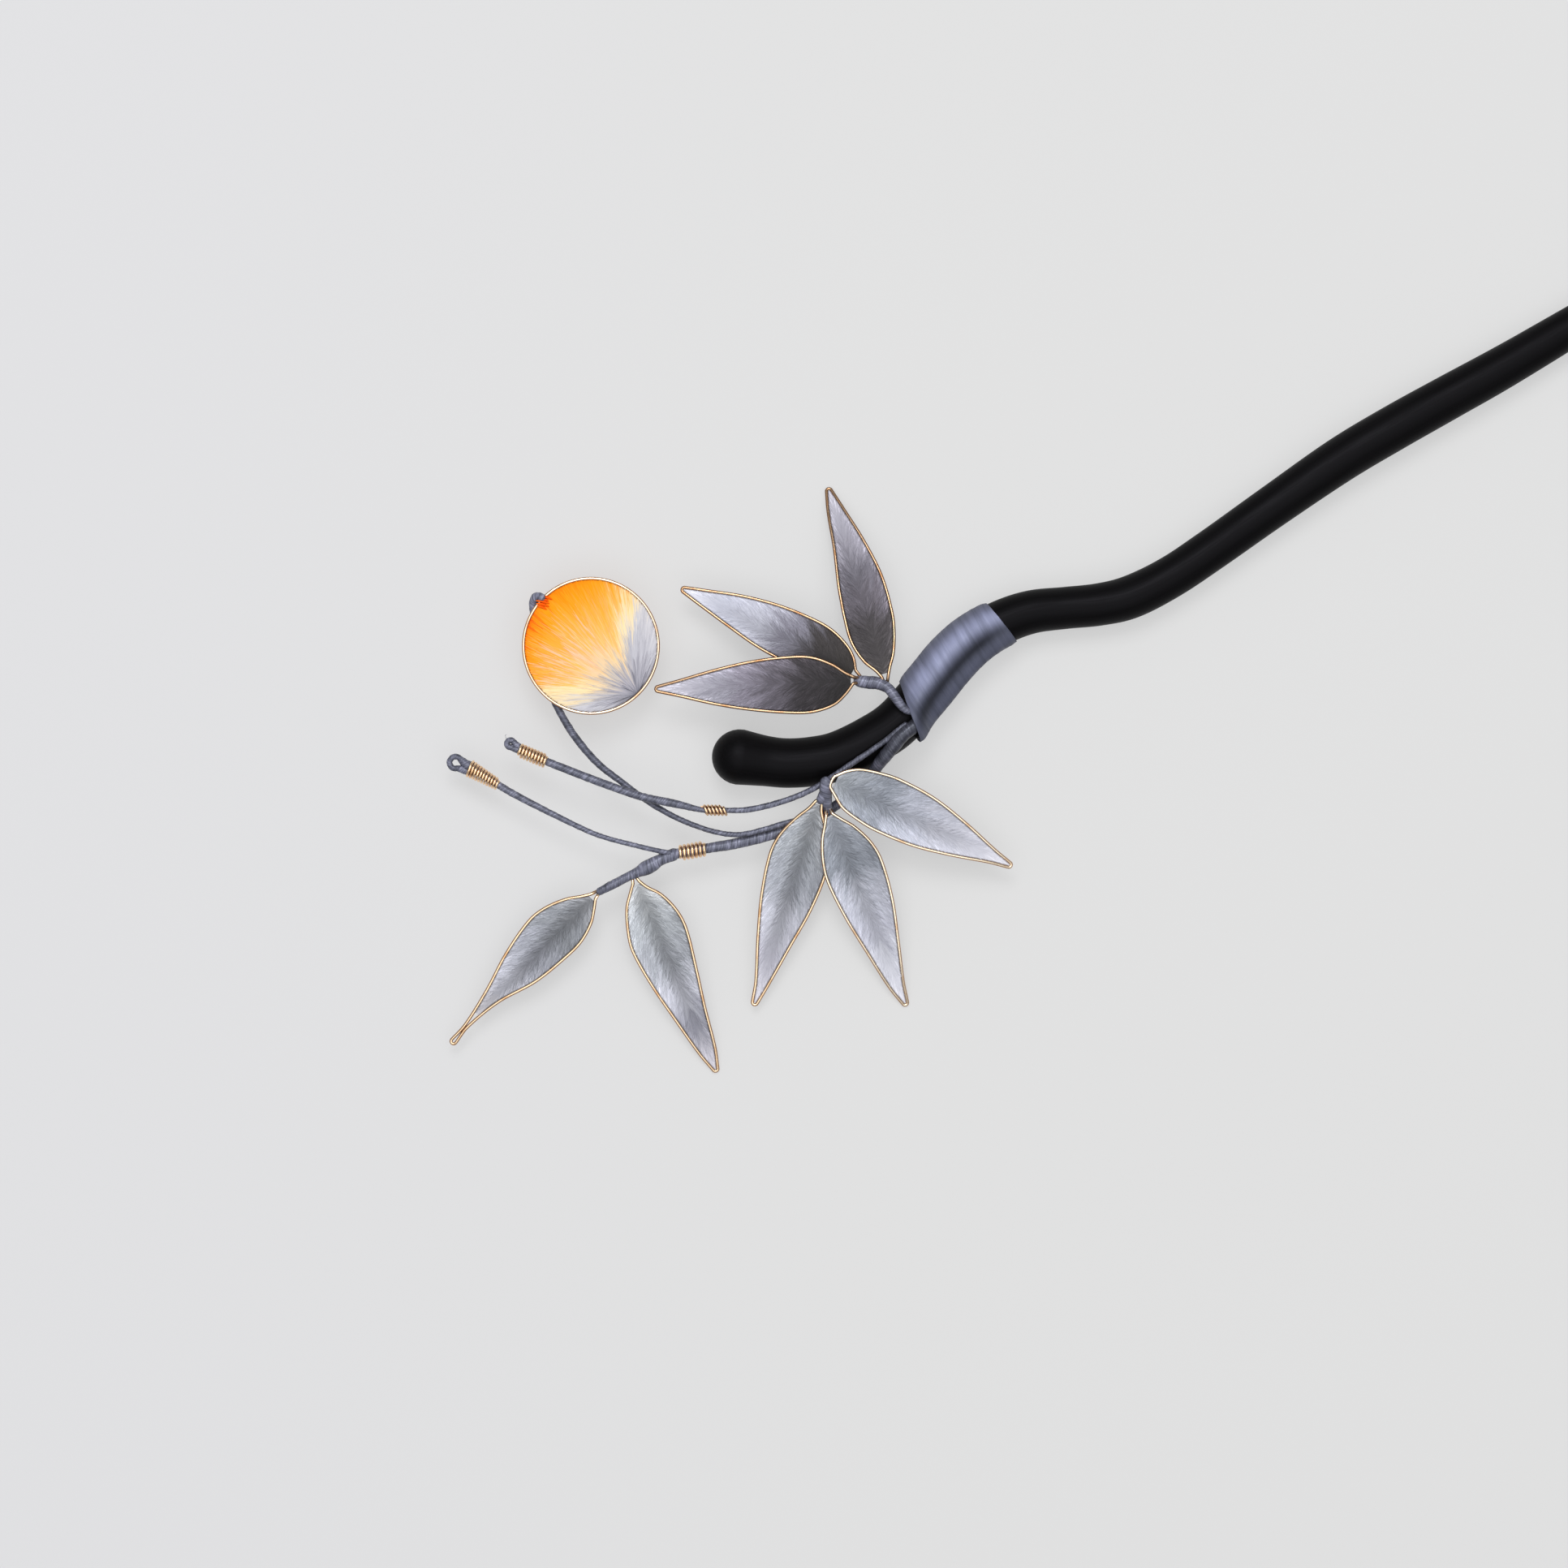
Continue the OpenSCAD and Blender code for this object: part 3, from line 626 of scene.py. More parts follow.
# x, y, z and thickness of each stem's course
stems = {
    "main_branch": [
        (-14, 1.9, 8.4, 0.4), (-20, 1.1, 8.7, 0.4), (-25, -1.4, 8.85, 0.5), (-27.5, -3.5, 9.0, 0.9),
        (-29, -4.9, 9.2, 1.6),
        (-30.5, -5.9, 9.5, 2.2), (-33, -6.2, 9.7, 2.3), (-35.5, -7, 9.35, 2.3), (-38, -7.9, 8.5, 2.1),
        (-41, -9, 7.2, 1.8), (-45, -9.9, 6.1, 1.6), (-50, -10.4, 5.4, 1.6), (-55, -9.9, 5.2, 1.6),
        (-59.5, -8.9, 5.3, 1.65), (-65, -7.1, 5.8, 1.75), (-69.2, -5.4, 6.3, 1.6), (-73.5, -3.7, 6.4, 1.6),
        (-74.4, -3.4, 6.4, 2), (-76.7, -3, 6.4, 1.9), (-78.2, -3, 6.4, 2.3), (-79.6, -2.9, 6.4, 2.3),
        (-80.8, -2.8, 6.4, 1.7), (-82.6, -2.6, 6.4, 1.45), (-85.4, -2.4, 6.4, 1.45), (-88.2, -2.2, 6.4, 1.2)],
    "spray_stem": [
        (-35.2, 5.4, 8.9, 1.6), (-34.4, 4.6, 8.9, 1.9), (-33.4, 3.8, 8.95, 2.1), (-32.2, 2.9, 9.05, 2),
        (-31.2, 1.3, 9.4, 1.7), (-31, -0.6, 9.8, 1.6), (-30.8, -2.4, 9.9, 1.4), (-30.2, -3.6, 9.8, 1.2),
        (-28.8, -3.9, 9.3, 0.9)],
    "cluster_stem": [
        (-46.9, -5.6, 10, 1.6), (-47.5, -6.2, 10, 1.9), (-48.3, -7.4, 9.4, 2), (-49, -8.8, 8.4, 1.8),
        (-49.5, -10, 7.4, 1.5), (-49.6, -10.6, 6.7, 1.2)],
    "upper_twig": [
        (-31.5, -4.9, 9.9, 0.7), (-33.6, -5.2, 9.8, 0.85), (-36.6, -5.6, 9.4, 0.9), (-42.7, -5.9, 9, 0.95),
        (-49.5, -6.1, 8.7, 0.95), (-54.9, -5.3, 8.5, 0.95), (-60.2, -3.6, 8.5, 0.95),
        (-63.6, -1.7, 8.5, 0.85), (-66.6, 0.2, 8.5, 0.85), (-70.1, 3.6, 8.6, 1.3),
        (-73.9, 7.2, 8.8, 1.3), (-77.8, 11.9, 8.6, 1.3), (-81.8, 17.1, 8.2, 1.3), (-84, 20.05, 8, 1.25),
        (-85.5, 22.4, 7.9, 1.2), (-86.3, 23.8, 7.8, 1.1)],
    "lower_twig": [
        (-74.3, -3.2, 6.9, 0.8), (-75.4, -2.3, 7.2, 0.8), (-77, -0.8, 7.4, 0.8), (-79.4, 1.6, 7.2, 0.8),
        (-82.1, 4.4, 7, 0.8), (-84.3, 7.2, 6.8, 0.85), (-87.9, 12.8, 6.4, 1), (-91, 17.9, 6, 1.15),
        (-92.6, 20.9, 5.8, 1.2), (-93.8, 23.6, 5.7, 1.4), (-94.8, 25.5, 5.6, 1.8), (-95.2, 26.1, 5.6, 1.7)],
    "disc_stem": [
        (-53.5, -9.3, 5.9, 0.7), (-57, -8.3, 6.2, 0.85), (-59.7, -7.6, 6.4, 0.85), (-63.7, -6.2, 6.8, 0.85),
        (-67.1, -3.5, 6.9, 0.85), (-70.6, 0.9, 6.9, 0.9), (-73.3, 5.7, 6.9, 1), (-75.7, 11.5, 6.9, 1.05),
        (-77.2, 15.7, 6.9, 1.15), (-78, 20.8, 7, 1.2), (-78, 25.5, 7.2, 1.2), (-77.4, 30, 7.3, 1.2),
        (-75.8, 36, 7.3, 1.2), (-73.4, 41, 7.3, 1.3), (-72.5, 42.6, 7.6, 1.5), (-71.7, 43.2, 8.5, 1.5),
        (-71.0, 42.9, 9.2, 1.3), (-70.5, 42.2, 9.4, 1)],
}
# The cluster stem's second end, wound in with it
secondEnds = {"cluster_stem": [(-48.2, -7.0, 9.6, 1.2), (-49.3, -8.0, 9.0, 1.6), (-50.3, -8.6, 8.5, 1.2)]}
# How much lighter or darker a stem is at some places of x, and of y for the disc stem; the darkening of the
# main branch and the upper twig towards the stick is painted shade
stemToneAndShade = {
    "main_branch": [(-88, 0.05), (-80, 0.2), (-72, 0.15), (-60, 0), (-44, -0.15), (-38, -0.6), (-33, -0.72)],
    "upper_twig": [(-60, 0), (-48, 0), (-40, -0.4), (-33, -0.5)],
    "disc_stem": [(-7, -0.1), (3, -0.28), (38, -0.28), (41, 0.3), (43, 0.6)],
    "cluster_stem": [(-48, 0.15)],
    "spray_stem": [(-35, 0.25), (-32, -0.05), (-29, -0.1)],
}
# Eyes at the ends of two twigs: middle, radius, thickness, and where the wire's end comes back
eyes = {
    "upper_twig": ((-87.4, 25.4, 7.7), 0.56, 0.98, [(-86.8, 23.7, 7.8, 1), (-86.2, 22.6, 7.85, 0.5)]),
    "lower_twig": ((-96.6, 27.5, 5.5), 0.95, 0.95, [(-95.9, 25.6, 5.6, 1.3), (-95, 24.2, 5.65, 0.7)]),
}
winding = {"steps": 12, "step": 0.09, "sides": 18, "ridge": 0.12, "lump": 0.14, "fineness": 3.4,
           "shift": 40.0}  # moves the noise on from stem to stem


def withEye(rows, eye):  # bends the wire into most of a round
    middle, radius, thickness, back = eye
    way = atan2(middle[1] - rows[-1][1], middle[0] - rows[-1][0])
    bent = [(middle[0] + radius * cos(a), middle[1] + radius * sin(a), middle[2], thickness)
            for a in way + np.radians(np.arange(-120, 121, 12))]
    return [*rows, *bent, *back]


def roundedOff(line):  # the thickness runs out in a round at both ends
    along = walked(line)
    for distance, radius in ((along, line[0, 3] / 2), (along[-1] - along, line[-1, 3] / 2)):
        short = np.clip(radius - distance, 0, radius)
        line[:, 3] *= np.sqrt(np.clip(1 - (short / radius) ** 2, 0.003, 1))
    return line


for number, (node, rows) in enumerate(stems.items()):
    if node in eyes:
        rows = withEye(rows, eyes[node])
    lines = [roundedOff(smoothLine(part, winding["steps"])) for part in (rows, secondEnds.get(node)) if part]
    edges = []
    for first, line in zip((0, len(lines[0])), lines):
        edges += [(first + i, first + i + 1) for i in range(len(line) - 1)]
    line = np.concatenate(lines)
    places, tones = zip(*stemToneAndShade.get(node, [(0, 0)]))
    tone = np.interp(line[:, 1 if node == "disc_stem" else 0], places, tones)
    stem = addMesh(pieceName(node), line[:, :3], [], {"thick": line[:, 3] * mm, "tone": tone}, edges)
    runNodes(stem, "windSilk", {
        "Step": winding["step"] * mm, "Sides": winding["sides"], "Ridge": winding["ridge"] * mm,
        "Lump": winding["lump"] * mm, "Fineness": winding["fineness"], "Shift": winding["shift"] * number,
        "Material": stemSilk})
    finishPiece(stem, node)
print("stems wound")


# The binding

binding = {"from": -30.2, "to": -10.0, "stations": 130, "points": 120, "room": 0.1, "wall": 0.32,
           "swell": 0.2, "ridge": 0.12, "fineness": 1.4, "slantFrom": 1.2, "slantTo": 0.5,
           # how widely it rises over the branch: so many of its radii, and millimetres more
           "rise": (1.3, 1.7),
           # round the stick, in degrees from its top to the lower side: a valley and the shoulder beyond it
           "valley": 21.0, "valleyDepth": 0.45, "valleyWidth": 18.0,
           "shoulder": 60.0, "shoulderRise": 0.4, "shoulderWidth": 16.0,
           # the middle of a painted highlight band round the stick, in degrees, and its width
           "paintedShine": -20.0, "paintedShineWidth": 22.0}

branchLine = smoothLine(stems["main_branch"], 2)[::-1]


def atX(line, x):
    return [np.interp(x, line[:, 0], line[:, column]) for column in (1, 2, 3)]


def pastBranch(x, angle, middle, slope):  # how far out the floss goes to pass over the branch
    y, z, thickness = atX(branchLine, x)
    dy, dz = (middle[0] - y) * cos(slope), z - middle[1]
    radius = thickness / 2 + binding["room"]
    distance = hypot(dy, dz)
    off = (angle - atan2(dy, dz) + pi) % (2 * pi) - pi
    bulge = distance + radius - (middle[2] / 2 + binding["room"])
    radii, more = binding["rise"]
    return bulge * exp(-(off * distance / (radii * radius + more)) ** 2)


def around(angle, middle, width):  # 1 at the middle, in degrees, and less on both sides of it
    return exp(-((degrees(angle) - middle) / width) ** 2)


def bindingInside(x, angle, middle, slope):
    fade = min(1, max(0, (branchLine[-1, 0] + 3 - x) / 4))  # the branch ends under the floss
    return middle[2] / 2 + binding["room"] + pastBranch(x, angle, middle, slope) * fade


def bindingRing(share, wall, points, marks):
    for k in range(binding["points"]):
        angle = 2 * pi * k / binding["points"] - pi
        start = binding["from"] - binding["slantFrom"] * sin(angle)
        end = binding["to"] + binding["slantTo"] * sin(angle)
        x = start + (end - start) * share
        y, z, thickness = atX(stickLine, x)
        slope = atan((atX(stickLine, x + 1)[0] - atX(stickLine, x - 1)[0]) / 2)
        fade = min(1, (binding["to"] + 1.5 - x) / 6)  # the shoulder sinks at the far end
        groove = around(angle, binding["valley"], binding["valleyWidth"])
        shoulder = around(angle, binding["shoulder"], binding["shoulderWidth"])
        radius = bindingInside(x, angle, (y, z, thickness), slope) + wall
        radius += binding["shoulderRise"] * shoulder * fade
        radius -= binding["valleyDepth"] * groove * min(1, wall * 2) * min(1, 0.1 + 4 * share)
        points.append((x, y - radius * sin(angle) / cos(slope), z + radius * cos(angle)))
        # painted light for the floss: groove is a painted shade in the valley, flank a painted shade on the
        # side away from the light, and shine a painted highlight band
        lit = around(angle, binding["paintedShine"], binding["paintedShineWidth"])
        keep(marks, {"wrap": (x, cos(angle), sin(angle)),
                     "groove": groove * (0.4 + 0.6 * fade) * min(1, 0.4 + 6 * share),
                     "shadedFlank": 1 - max(0, cos(angle - radians(binding["paintedShine"]))),
                     "paintedShine": lit * min(1, 0.25 + 4 * share)})


points, marks = [], {}
shares = np.linspace(0, 1, binding["stations"] + 1)
for share in shares:  # the outside, thinner at both rims
    rim = min(1, 12 * min(share, 1 - share) + 0.45)
    wall = (binding["wall"] + binding["swell"] * sin(pi * share)) * rim
    bindingRing(share, wall, points, marks)
for share in shares[::-10]:  # and the lining back again
    bindingRing(share, 0, points, marks)
faces = []
for first in range(0, len(points), binding["points"]):
    faces += band(first, (first + binding["points"]) % len(points), binding["points"])
bindingPiece = addMesh("silkBinding", points, faces, marks)

# Raises the winding's ridges
given = newShaper("windingRidges", "Ridge", "Fineness")
x, y, z = parted(nodeField("wrap", "FLOAT_VECTOR"))
thread = joined(times(timesPlus(y, 0.5, x), given["Fineness"]), y, z)
lift = swing(noise(thread, 1, 3, 0.55), given["Ridge"])
ridged = shaped("SetPosition", {"Geometry": given["Geometry"],
                                "Offset": scaled(shaped("InputNormal"), lift)})
endShaper(ridged, given["Material"])
runNodes(bindingPiece, "windingRidges", {
    "Ridge": binding["ridge"] * mm, "Fineness": binding["fineness"], "Material": bindingSilk})
finishPiece(bindingPiece, "binding")
print("binding made")


# Coils of gold wire

given = newShaper("windWire", "Start", "End", "Start Width", "End Width", "Turns", "Wire", "Lean", "Sides",
                  "Points")
curve = shaped("CurvePrimitiveLine", {"Start": given["Start"], "End": given["End"]})
curve = shaped("ResampleCurve", {"Curve": curve, "Count": given["Points"]}, mode="COUNT")
spline = put("GeometryNodeSplineParameter").outputs
whole = times(given["Turns"], 2 * pi)
angle = times(spline["Factor"], whole)
axis = vectorCalc("NORMALIZE", vectorCalc("SUBTRACT", given["End"], given["Start"]))
out = vectorCalc("NORMALIZE", vectorCalc("CROSS_PRODUCT", axis, (0, 0, 1)))
over = vectorCalc("CROSS_PRODUCT", out, axis)
outward = vectorCalc("ADD", scaled(out, calc("COSINE", angle)), scaled(over, calc("SINE", angle)))
width = spread(spline["Factor"], 0, 1, (given["Start Width"], given["End Width"]), smooth=False)
radius = times(minus(width, given["Wire"]), 0.5)
# both ends go down into the silk
toEnd = calc("MINIMUM", angle, minus(whole, angle))
radius = times(radius, spread(toEnd, 0, 1.2, (0.62, 1)))
curve = store(curve, "along", times(angle, 1.1))
curve = store(curve, "outward", outward, "FLOAT_VECTOR")
outward = nodeField("outward", "FLOAT_VECTOR")
tilt = times(calc("COSINE", angle), times(radius, given["Lean"]))
offset = vectorCalc("ADD", scaled(outward, radius), scaled(axis, tilt))
curve = shaped("SetPosition", {"Geometry": curve, "Offset": offset})
wire = barAlong(curve, circle(given["Sides"]), given["Wire"])
# painted shade: this mark turns the coil copper-dark where the wire faces the stem, in the gaps between the
# turns
facing = vectorCalc("DOT_PRODUCT", shaped("InputNormal"), outward)
endShaper(store(wire, "shadedFlank", minus(1, calc("MAXIMUM", facing, 0))), given["Material"])

coils = {
    "sides": 9, "pointsPerTurn": 28,
    # start, end, width at the start and at the end, turns, how far the turns lean over, and the wire's
    # thickness
    "courses": {
        "main_branch_coil": ((-69.6, -5.2, 6.3), (-73.5, -3.7, 6.4), 2.65, 2.65, 6.5, 0.0, 0.49),
        "upper_twig_middle_coil": ((-63.6, -1.7, 8.5), (-66.6, 0.2, 8.5), 1.85, 1.85, 6, 0.6, 0.42),
        "upper_twig_end_coil": ((-84, 20, 8), (-86.7, 23.75, 7.8), 2.35, 2.4, 8.5, 0.12, 0.47),
        "lower_twig_end_coil": ((-92.6, 20.9, 5.8), (-95.25, 25.75, 5.6), 1.95, 3.0, 11, 0.2, 0.42),
    },
}
for node, (start, end, startWidth, endWidth, turns, lean, thick) in coils["courses"].items():
    coil = addObject(pieceName(node), bpy.data.meshes.new(node))
    runNodes(coil, "windWire", {
        "Start": [v * mm for v in start], "End": [v * mm for v in end], "Start Width": startWidth * mm,
        "End Width": endWidth * mm, "Turns": float(turns), "Wire": thick * mm,
        "Sides": coils["sides"], "Points": round(turns * coils["pointsPerTurn"]) + 1, "Lean": lean,
        "Material": wires["coilWire"]})
    finishPiece(coil, node)
print("coils made")


# Fine strands over a sheet of pressed silk

# The sheet's attributes: lie is the way of the fibres, room is how far they may go, in metres, and cover
# is how many of them there are
given = newShaper("silkStrands", "Density", "Length", "Width", "Thickness", "Spread", "Lift", "Seed")


def chance(seed, number, low, high):  # what differs from strand to strand
    values = {2: low, 3: high, "Seed": plus(seed, number)}
    return put("FunctionNodeRandomValue", values, data_type="FLOAT").outputs[1]


seed = given["Seed"]
scattered = put("GeometryNodeDistributePointsOnFaces", {
    "Mesh": given["Geometry"], "Seed": seed, "Density": times(given["Density"], nodeField("cover"))}).outputs
pointing = put("FunctionNodeAxesToRotation", {0: scattered["Normal"], 1: nodeField("lie", "FLOAT_VECTOR")},
               primary_axis="Z", secondary_axis="X").outputs[0]
sway = joined(0, times(given["Lift"], chance(seed, 1, -1.0, 0.2)),
              times(given["Spread"], chance(seed, 2, -1.0, 1.0)))
sway = put("FunctionNodeEulerToRotation", {0: sway}).outputs[0]
pointing = put("FunctionNodeRotateRotation", {0: pointing, 1: sway}, rotation_space="LOCAL").outputs[0]
reach = calc("MINIMUM", times(given["Length"], chance(seed, 3, 0.5, 1.5)), nodeField("room"))
size = joined(reach, times(given["Width"], chance(seed, 4, 0.6, 1.4)), given["Thickness"])
strand = shaped("CurvePrimitiveLine", {"Start": (0, 0, 0), "End": (1, 0, 0)})
strand = shaped("ResampleCurve", {"Curve": strand, "Count": 3}, mode="COUNT")
hump = calc("SINE", times(put("GeometryNodeSplineParameter").outputs["Factor"], pi))
strand = shaped("SetPosition", {"Geometry": strand, "Offset": joined(0, 0, times(hump, 0.4))})
strand = barAlong(strand, circle(3), timesPlus(hump, 0.75, 0.25))
# a strand is so flat that its faces are shaded flat: smoothed, its edges would look dark
strand = shaped("SetShadeSmooth", {"Geometry": strand, "Shade Smooth": False}, domain="FACE")
laid = shaped("InstanceOnPoints", {"Points": scattered["Points"], "Instance": strand,
                                   "Rotation": pointing, "Scale": size})
laid = store(laid, "tone", chance(seed, 5, -1.0, 1.0), domain="INSTANCE")
together = put("GeometryNodeJoinGeometry", {0: laid})
setInputs(together, {0: given["Geometry"]})
endShaper(together.outputs[0], given["Material"])

strands = {"density": 15.0, "length": 1.25, "width": 0.11, "thickness": 0.022, "spread": 0.4, "lift": 0.03,
           "under": 0.4}  # the share of them that the underside has


def layStrands(piece, material, seed, **changes):
    values = {**strands, **changes}
    runNodes(piece, "silkStrands", {
        "Density": values["density"] / mm ** 2, "Length": values["length"] * mm,
        "Width": values["width"] * mm, "Thickness": values["thickness"] * mm, "Spread": values["spread"],
        "Lift": values["lift"], "Seed": seed, "Material": material}, smooth=False)


# Leaves

umberDye = {"stops": {0.0: "#4c4849", 0.25: "#4b474a", 0.4: "#6b666f", 0.55: "#74717b",
                      0.7: "#a09da9", 0.85: "#adabb7", 1.0: "#c4c2cd"},
            "wander": 0.34, "contrast": 1.5, "strands": 0.12, "flecks": 0.4, "rib": 0.2, "rays": 1.1,
            "lean": 0.06}
sootDye = {**umberDye, "stops": {0.0: "#2a2728", 0.25: "#3b373b", 0.4: "#68636d", 0.55: "#8f8a98",
                                 0.7: "#a6a4b1", 0.85: "#bab8c4", 1.0: "#ceccd7"}}
lilacDye = {"stops": {0.0: "#363230", 0.23: "#3f3b3c", 0.4: "#868491", 0.58: "#c0c1ce",
                      0.78: "#c5c7d5", 1.0: "#e0e1ec"},
            "wander": 0.27, "contrast": 1.1, "strands": 0.1, "flecks": 0.22, "rib": 0.25, "rays": 0.5,
            "lean": 0.02}
paleDye = {"stops": {0.0: "#abb0b8", 0.25: "#9a9faa", 0.42: "#bfc2cf", 0.6: "#c9cad6",
                     0.8: "#d4d4df", 1.0: "#e2e1ea"},
           "wander": 0.36, "contrast": 1.4, "strands": 0.12, "flecks": 0.22, "rib": 0.35, "rays": 0.3,
           "lean": 0.05}
ashDye = {"stops": {0.0: "#bfc2c7", 0.22: "#a4a8af", 0.4: "#a2a5ae", 0.58: "#c3c4cf",
                    0.78: "#bab9c5", 1.0: "#d8d6df"},
          "wander": 0.36, "contrast": 1.5, "strands": 0.13, "flecks": 0.25, "rib": 0.5, "rays": 0.45,
          "lean": 0.06}
leafShape = {
    "stations": [0.04, 0.1, 0.2, 0.3, 0.5, 0.7, 0.9], "curl": 0.7, "wire": 0.52, "wireSides": 10,
    "footHalf": 0.55, "tipHalf": 0.42, "bend": 0.3, "apart": 0.2, "middle": 0.4, "edge": 0.2, "tuck": 0.05,
    "rows": 60, "columns": 24, "sideSteps": 56, "silkFrom": 0.012, "fibreFoot": 52, "fibreTip": 8,
    "groove": 0.07, "grooveWidth": 0.5,
    "clear": 0.3,  # how near a fibre may come to the wire
    "farthest": 3.5,  # how far at most it goes
    "thinning": 0.6,  # how many fewer strands lie at the tip than at the foot, as a share
    "back": 50,  # sets the back's fibres apart from the front's
}
# arch is how far the middle is lifted, left and right how far the two sides stand off the middle line at
# the stations, tail where the wire's ends go into the stem, and silkTo where the silk stops short
leaves = {
    "upper_leaf_1": {
        "foot": (-30.6, 3.3, 9.3), "tip": (-22.3, 34.2, 0.5), "arch": 1.2,
        "left": [1.2, 2.5, 3.5, 3.6, 3, 1.9, 1.1], "right": [1.2, 2.3, 3.4, 4, 4.1, 3, 1.3],
        "tail": (-31.1, 2.2, 9.2), "finish": "copperWire", "dye": umberDye},
    "upper_leaf_2": {
        "foot": (-34.6, 6.2, 8.5), "tip": (-51.1, 32.5, 5.5), "arch": 0.3,
        "left": [1, 1.8, 2.8, 3.1, 3, 2.1, 1], "right": [2.2, 3.5, 4.6, 4.9, 4.5, 3.3, 1.4],
        "tail": (-34.1, 4.6, 8.8), "finish": "copperWire", "dye": lilacDye},
    "upper_leaf_3": {
        "foot": (-35.3, 5.4, 9.9), "tip": (-63.2, 20.8, 8.5), "arch": 0.8,
        "left": [2.1, 3.7, 4.7, 4.8, 4.1, 2.9, 1.2], "right": [1.2, 2.5, 3.8, 4.1, 3.7, 2.6, 1.1],
        "tail": (-34.2, 4.6, 9.1), "finish": "copperWire", "dye": sootDye},
    "lower_leaf_1": {
        "foot": (-46.5, -6.8, 10.4), "tip": (-29, -33.5, 5), "arch": 1.2,
        "left": [2.4, 3.6, 4.4, 4.8, 4.5, 3.1, 1.2], "right": [1.9, 3.1, 3.8, 4.1, 3.8, 2.6, 1],
        "tail": (-47.1, -5.9, 10.1), "footHalf": 1.05, "dye": paleDye},
    "lower_leaf_2": {
        "foot": (-50.2, -8.4, 8.2), "tip": (-76.3, -31, 2.2), "arch": 0,
        "left": [0.9, 2.1, 3.7, 4.5, 4, 2.6, 1.2], "right": [1.2, 2.6, 4.3, 4.9, 4.2, 2.7, 0.9],
        "tail": (-49, -8.1, 8.6), "finish": "honeyWire", "dye": {**ashDye, "lean": 0.05}},
    "lower_leaf_3": {
        "foot": (-49.8, -11, 8.4), "tip": (-55.3, -44, 0.5), "arch": 1.2,
        "left": [1.5, 3, 4.5, 5, 4.3, 2.7, 1], "right": [1.3, 2.5, 3.7, 4.2, 3.7, 2.6, 1.4],
        "tail": (-49.4, -9.8, 7.7), "dye": {**paleDye, "stops": {
            0.0: "#a6abb5", 0.25: "#90959f", 0.42: "#bfc1cd", 0.6: "#c1c2cf", 0.8: "#d6d7e1",
            1.0: "#e1e0ea"}}},
    "end_leaf_1": {
        "foot": (-89, -2.4, 6.4), "tip": (-121.1, -10.7, 3), "arch": 0.6, "silkTo": 0.82,
        "left": [1.5, 2.7, 3.6, 3.6, 2.8, 0.8, 0.02], "right": [1.4, 2.8, 4.2, 4.7, 3.7, 1.85, 0.5],
        "tail": (-87.9, -2.2, 6.4), "finish": "honeyWire", "dye": {**ashDye, "lean": 0.05, "stops": {
            0.0: "#a6a8ae", 0.22: "#90939a", 0.4: "#a0a2ac", 0.58: "#c3c4cf", 0.78: "#c3c1c8",
            1.0: "#dad8e1"}}},
    "end_leaf_2": {
        "foot": (-81.9, -4.1, 6.1), "tip": (-87, -37.1, 0.5), "arch": 0.8,
        "left": [1.3, 2.9, 4.2, 4.5, 3.5, 2.3, 1.3], "right": [1.6, 3, 4.2, 4.8, 4.1, 2.8, 1.4],
        "tail": (-81.7, -3.0, 6.3), "finish": "honeyWire", "dye": {**ashDye, "stops": {
            0.0: "#dfe2e6", 0.22: "#b4b8be", 0.4: "#a9acb4", 0.58: "#c8c9d4", 0.75: "#9696a2",
            1.0: "#d0cdd6"}}},
}


def standOff(leaf, which, s):
    points = [(0, leaf.get("footHalf", leafShape["footHalf"])), *zip(leafShape["stations"], leaf[which]),
              (1, leafShape["tipHalf"])]
    i = max([j for j in range(len(points) - 1) if points[j][0] <= s] or [0])

    def slope(j):
        a, b = points[max(j - 1, 0)], points[min(j + 1, len(points) - 1)]
        return (b[1] - a[1]) / (b[0] - a[0])

    width = points[i + 1][0] - points[i][0]
    t = (s - points[i][0]) / width
    return (points[i][1] * (1 + 2 * t) * (1 - t) ** 2 + slope(i) * width * t * (1 - t) ** 2
            + points[i + 1][1] * t * t * (3 - 2 * t) + slope(i + 1) * width * t * t * (t - 1))


def leafLength(leaf):
    return dist(leaf["foot"][:2], leaf["tip"][:2]) - leafShape["tipHalf"] - leafShape["wire"] / 2


def leafPoint(leaf, s, off, above=0.0):
    foot, tip = np.array(leaf["foot"]), np.array(leaf["tip"])
    way = unit((tip - foot)[:2])
    x, y = foot[:2] + way * s * leafLength(leaf) + np.array((-way[1], way[0])) * off
    z = foot[2] + (tip[2] - foot[2]) * s + leaf["arch"] * 4 * s * (1 - s)
    return np.array((x, y, z - leafShape["curl"] * (off / 5) ** 2 + above))


def eased(i, n):
    return (1 - cos(pi * i / n)) / 2


def leafWire(name, leaf):
    steps, half, length = leafShape["sideSteps"], leafShape["tipHalf"], leafLength(leaf)
    closed = "footHalf" in leaf  # the wire goes round the foot
    sides = [eased(i, steps) for i in range(steps + 1)]
    left = [leafPoint(leaf, s, standOff(leaf, "left", s)) for s in sides]
    right = [leafPoint(leaf, s, -standOff(leaf, "right", s)) for s in sides[::-1]]
    turn = [leafPoint(leaf, 1 + half * cos(a) / length, half * sin(a))
            for a in np.radians((60, 30, 0, -30, -60))]
    if closed:
        bend = [leafPoint(leaf, -leafShape["bend"] * cos(a) / length, leaf["footHalf"] * sin(a))
                for a in np.radians((-60, -30, 0, 30, 60))]
        path = [*left, *turn, *right, *bend]
    else:
        tail, apart = np.array(leaf["tail"]), (left[0] - right[-1]) * leafShape["apart"]
        path = [tail + apart, *left, *turn, *right, tail - apart]
    line = [np.append(p, leafShape["wire"]) for p in path]
    return tubes(name, [line], leafShape["wireSides"], wireMarks, closed)


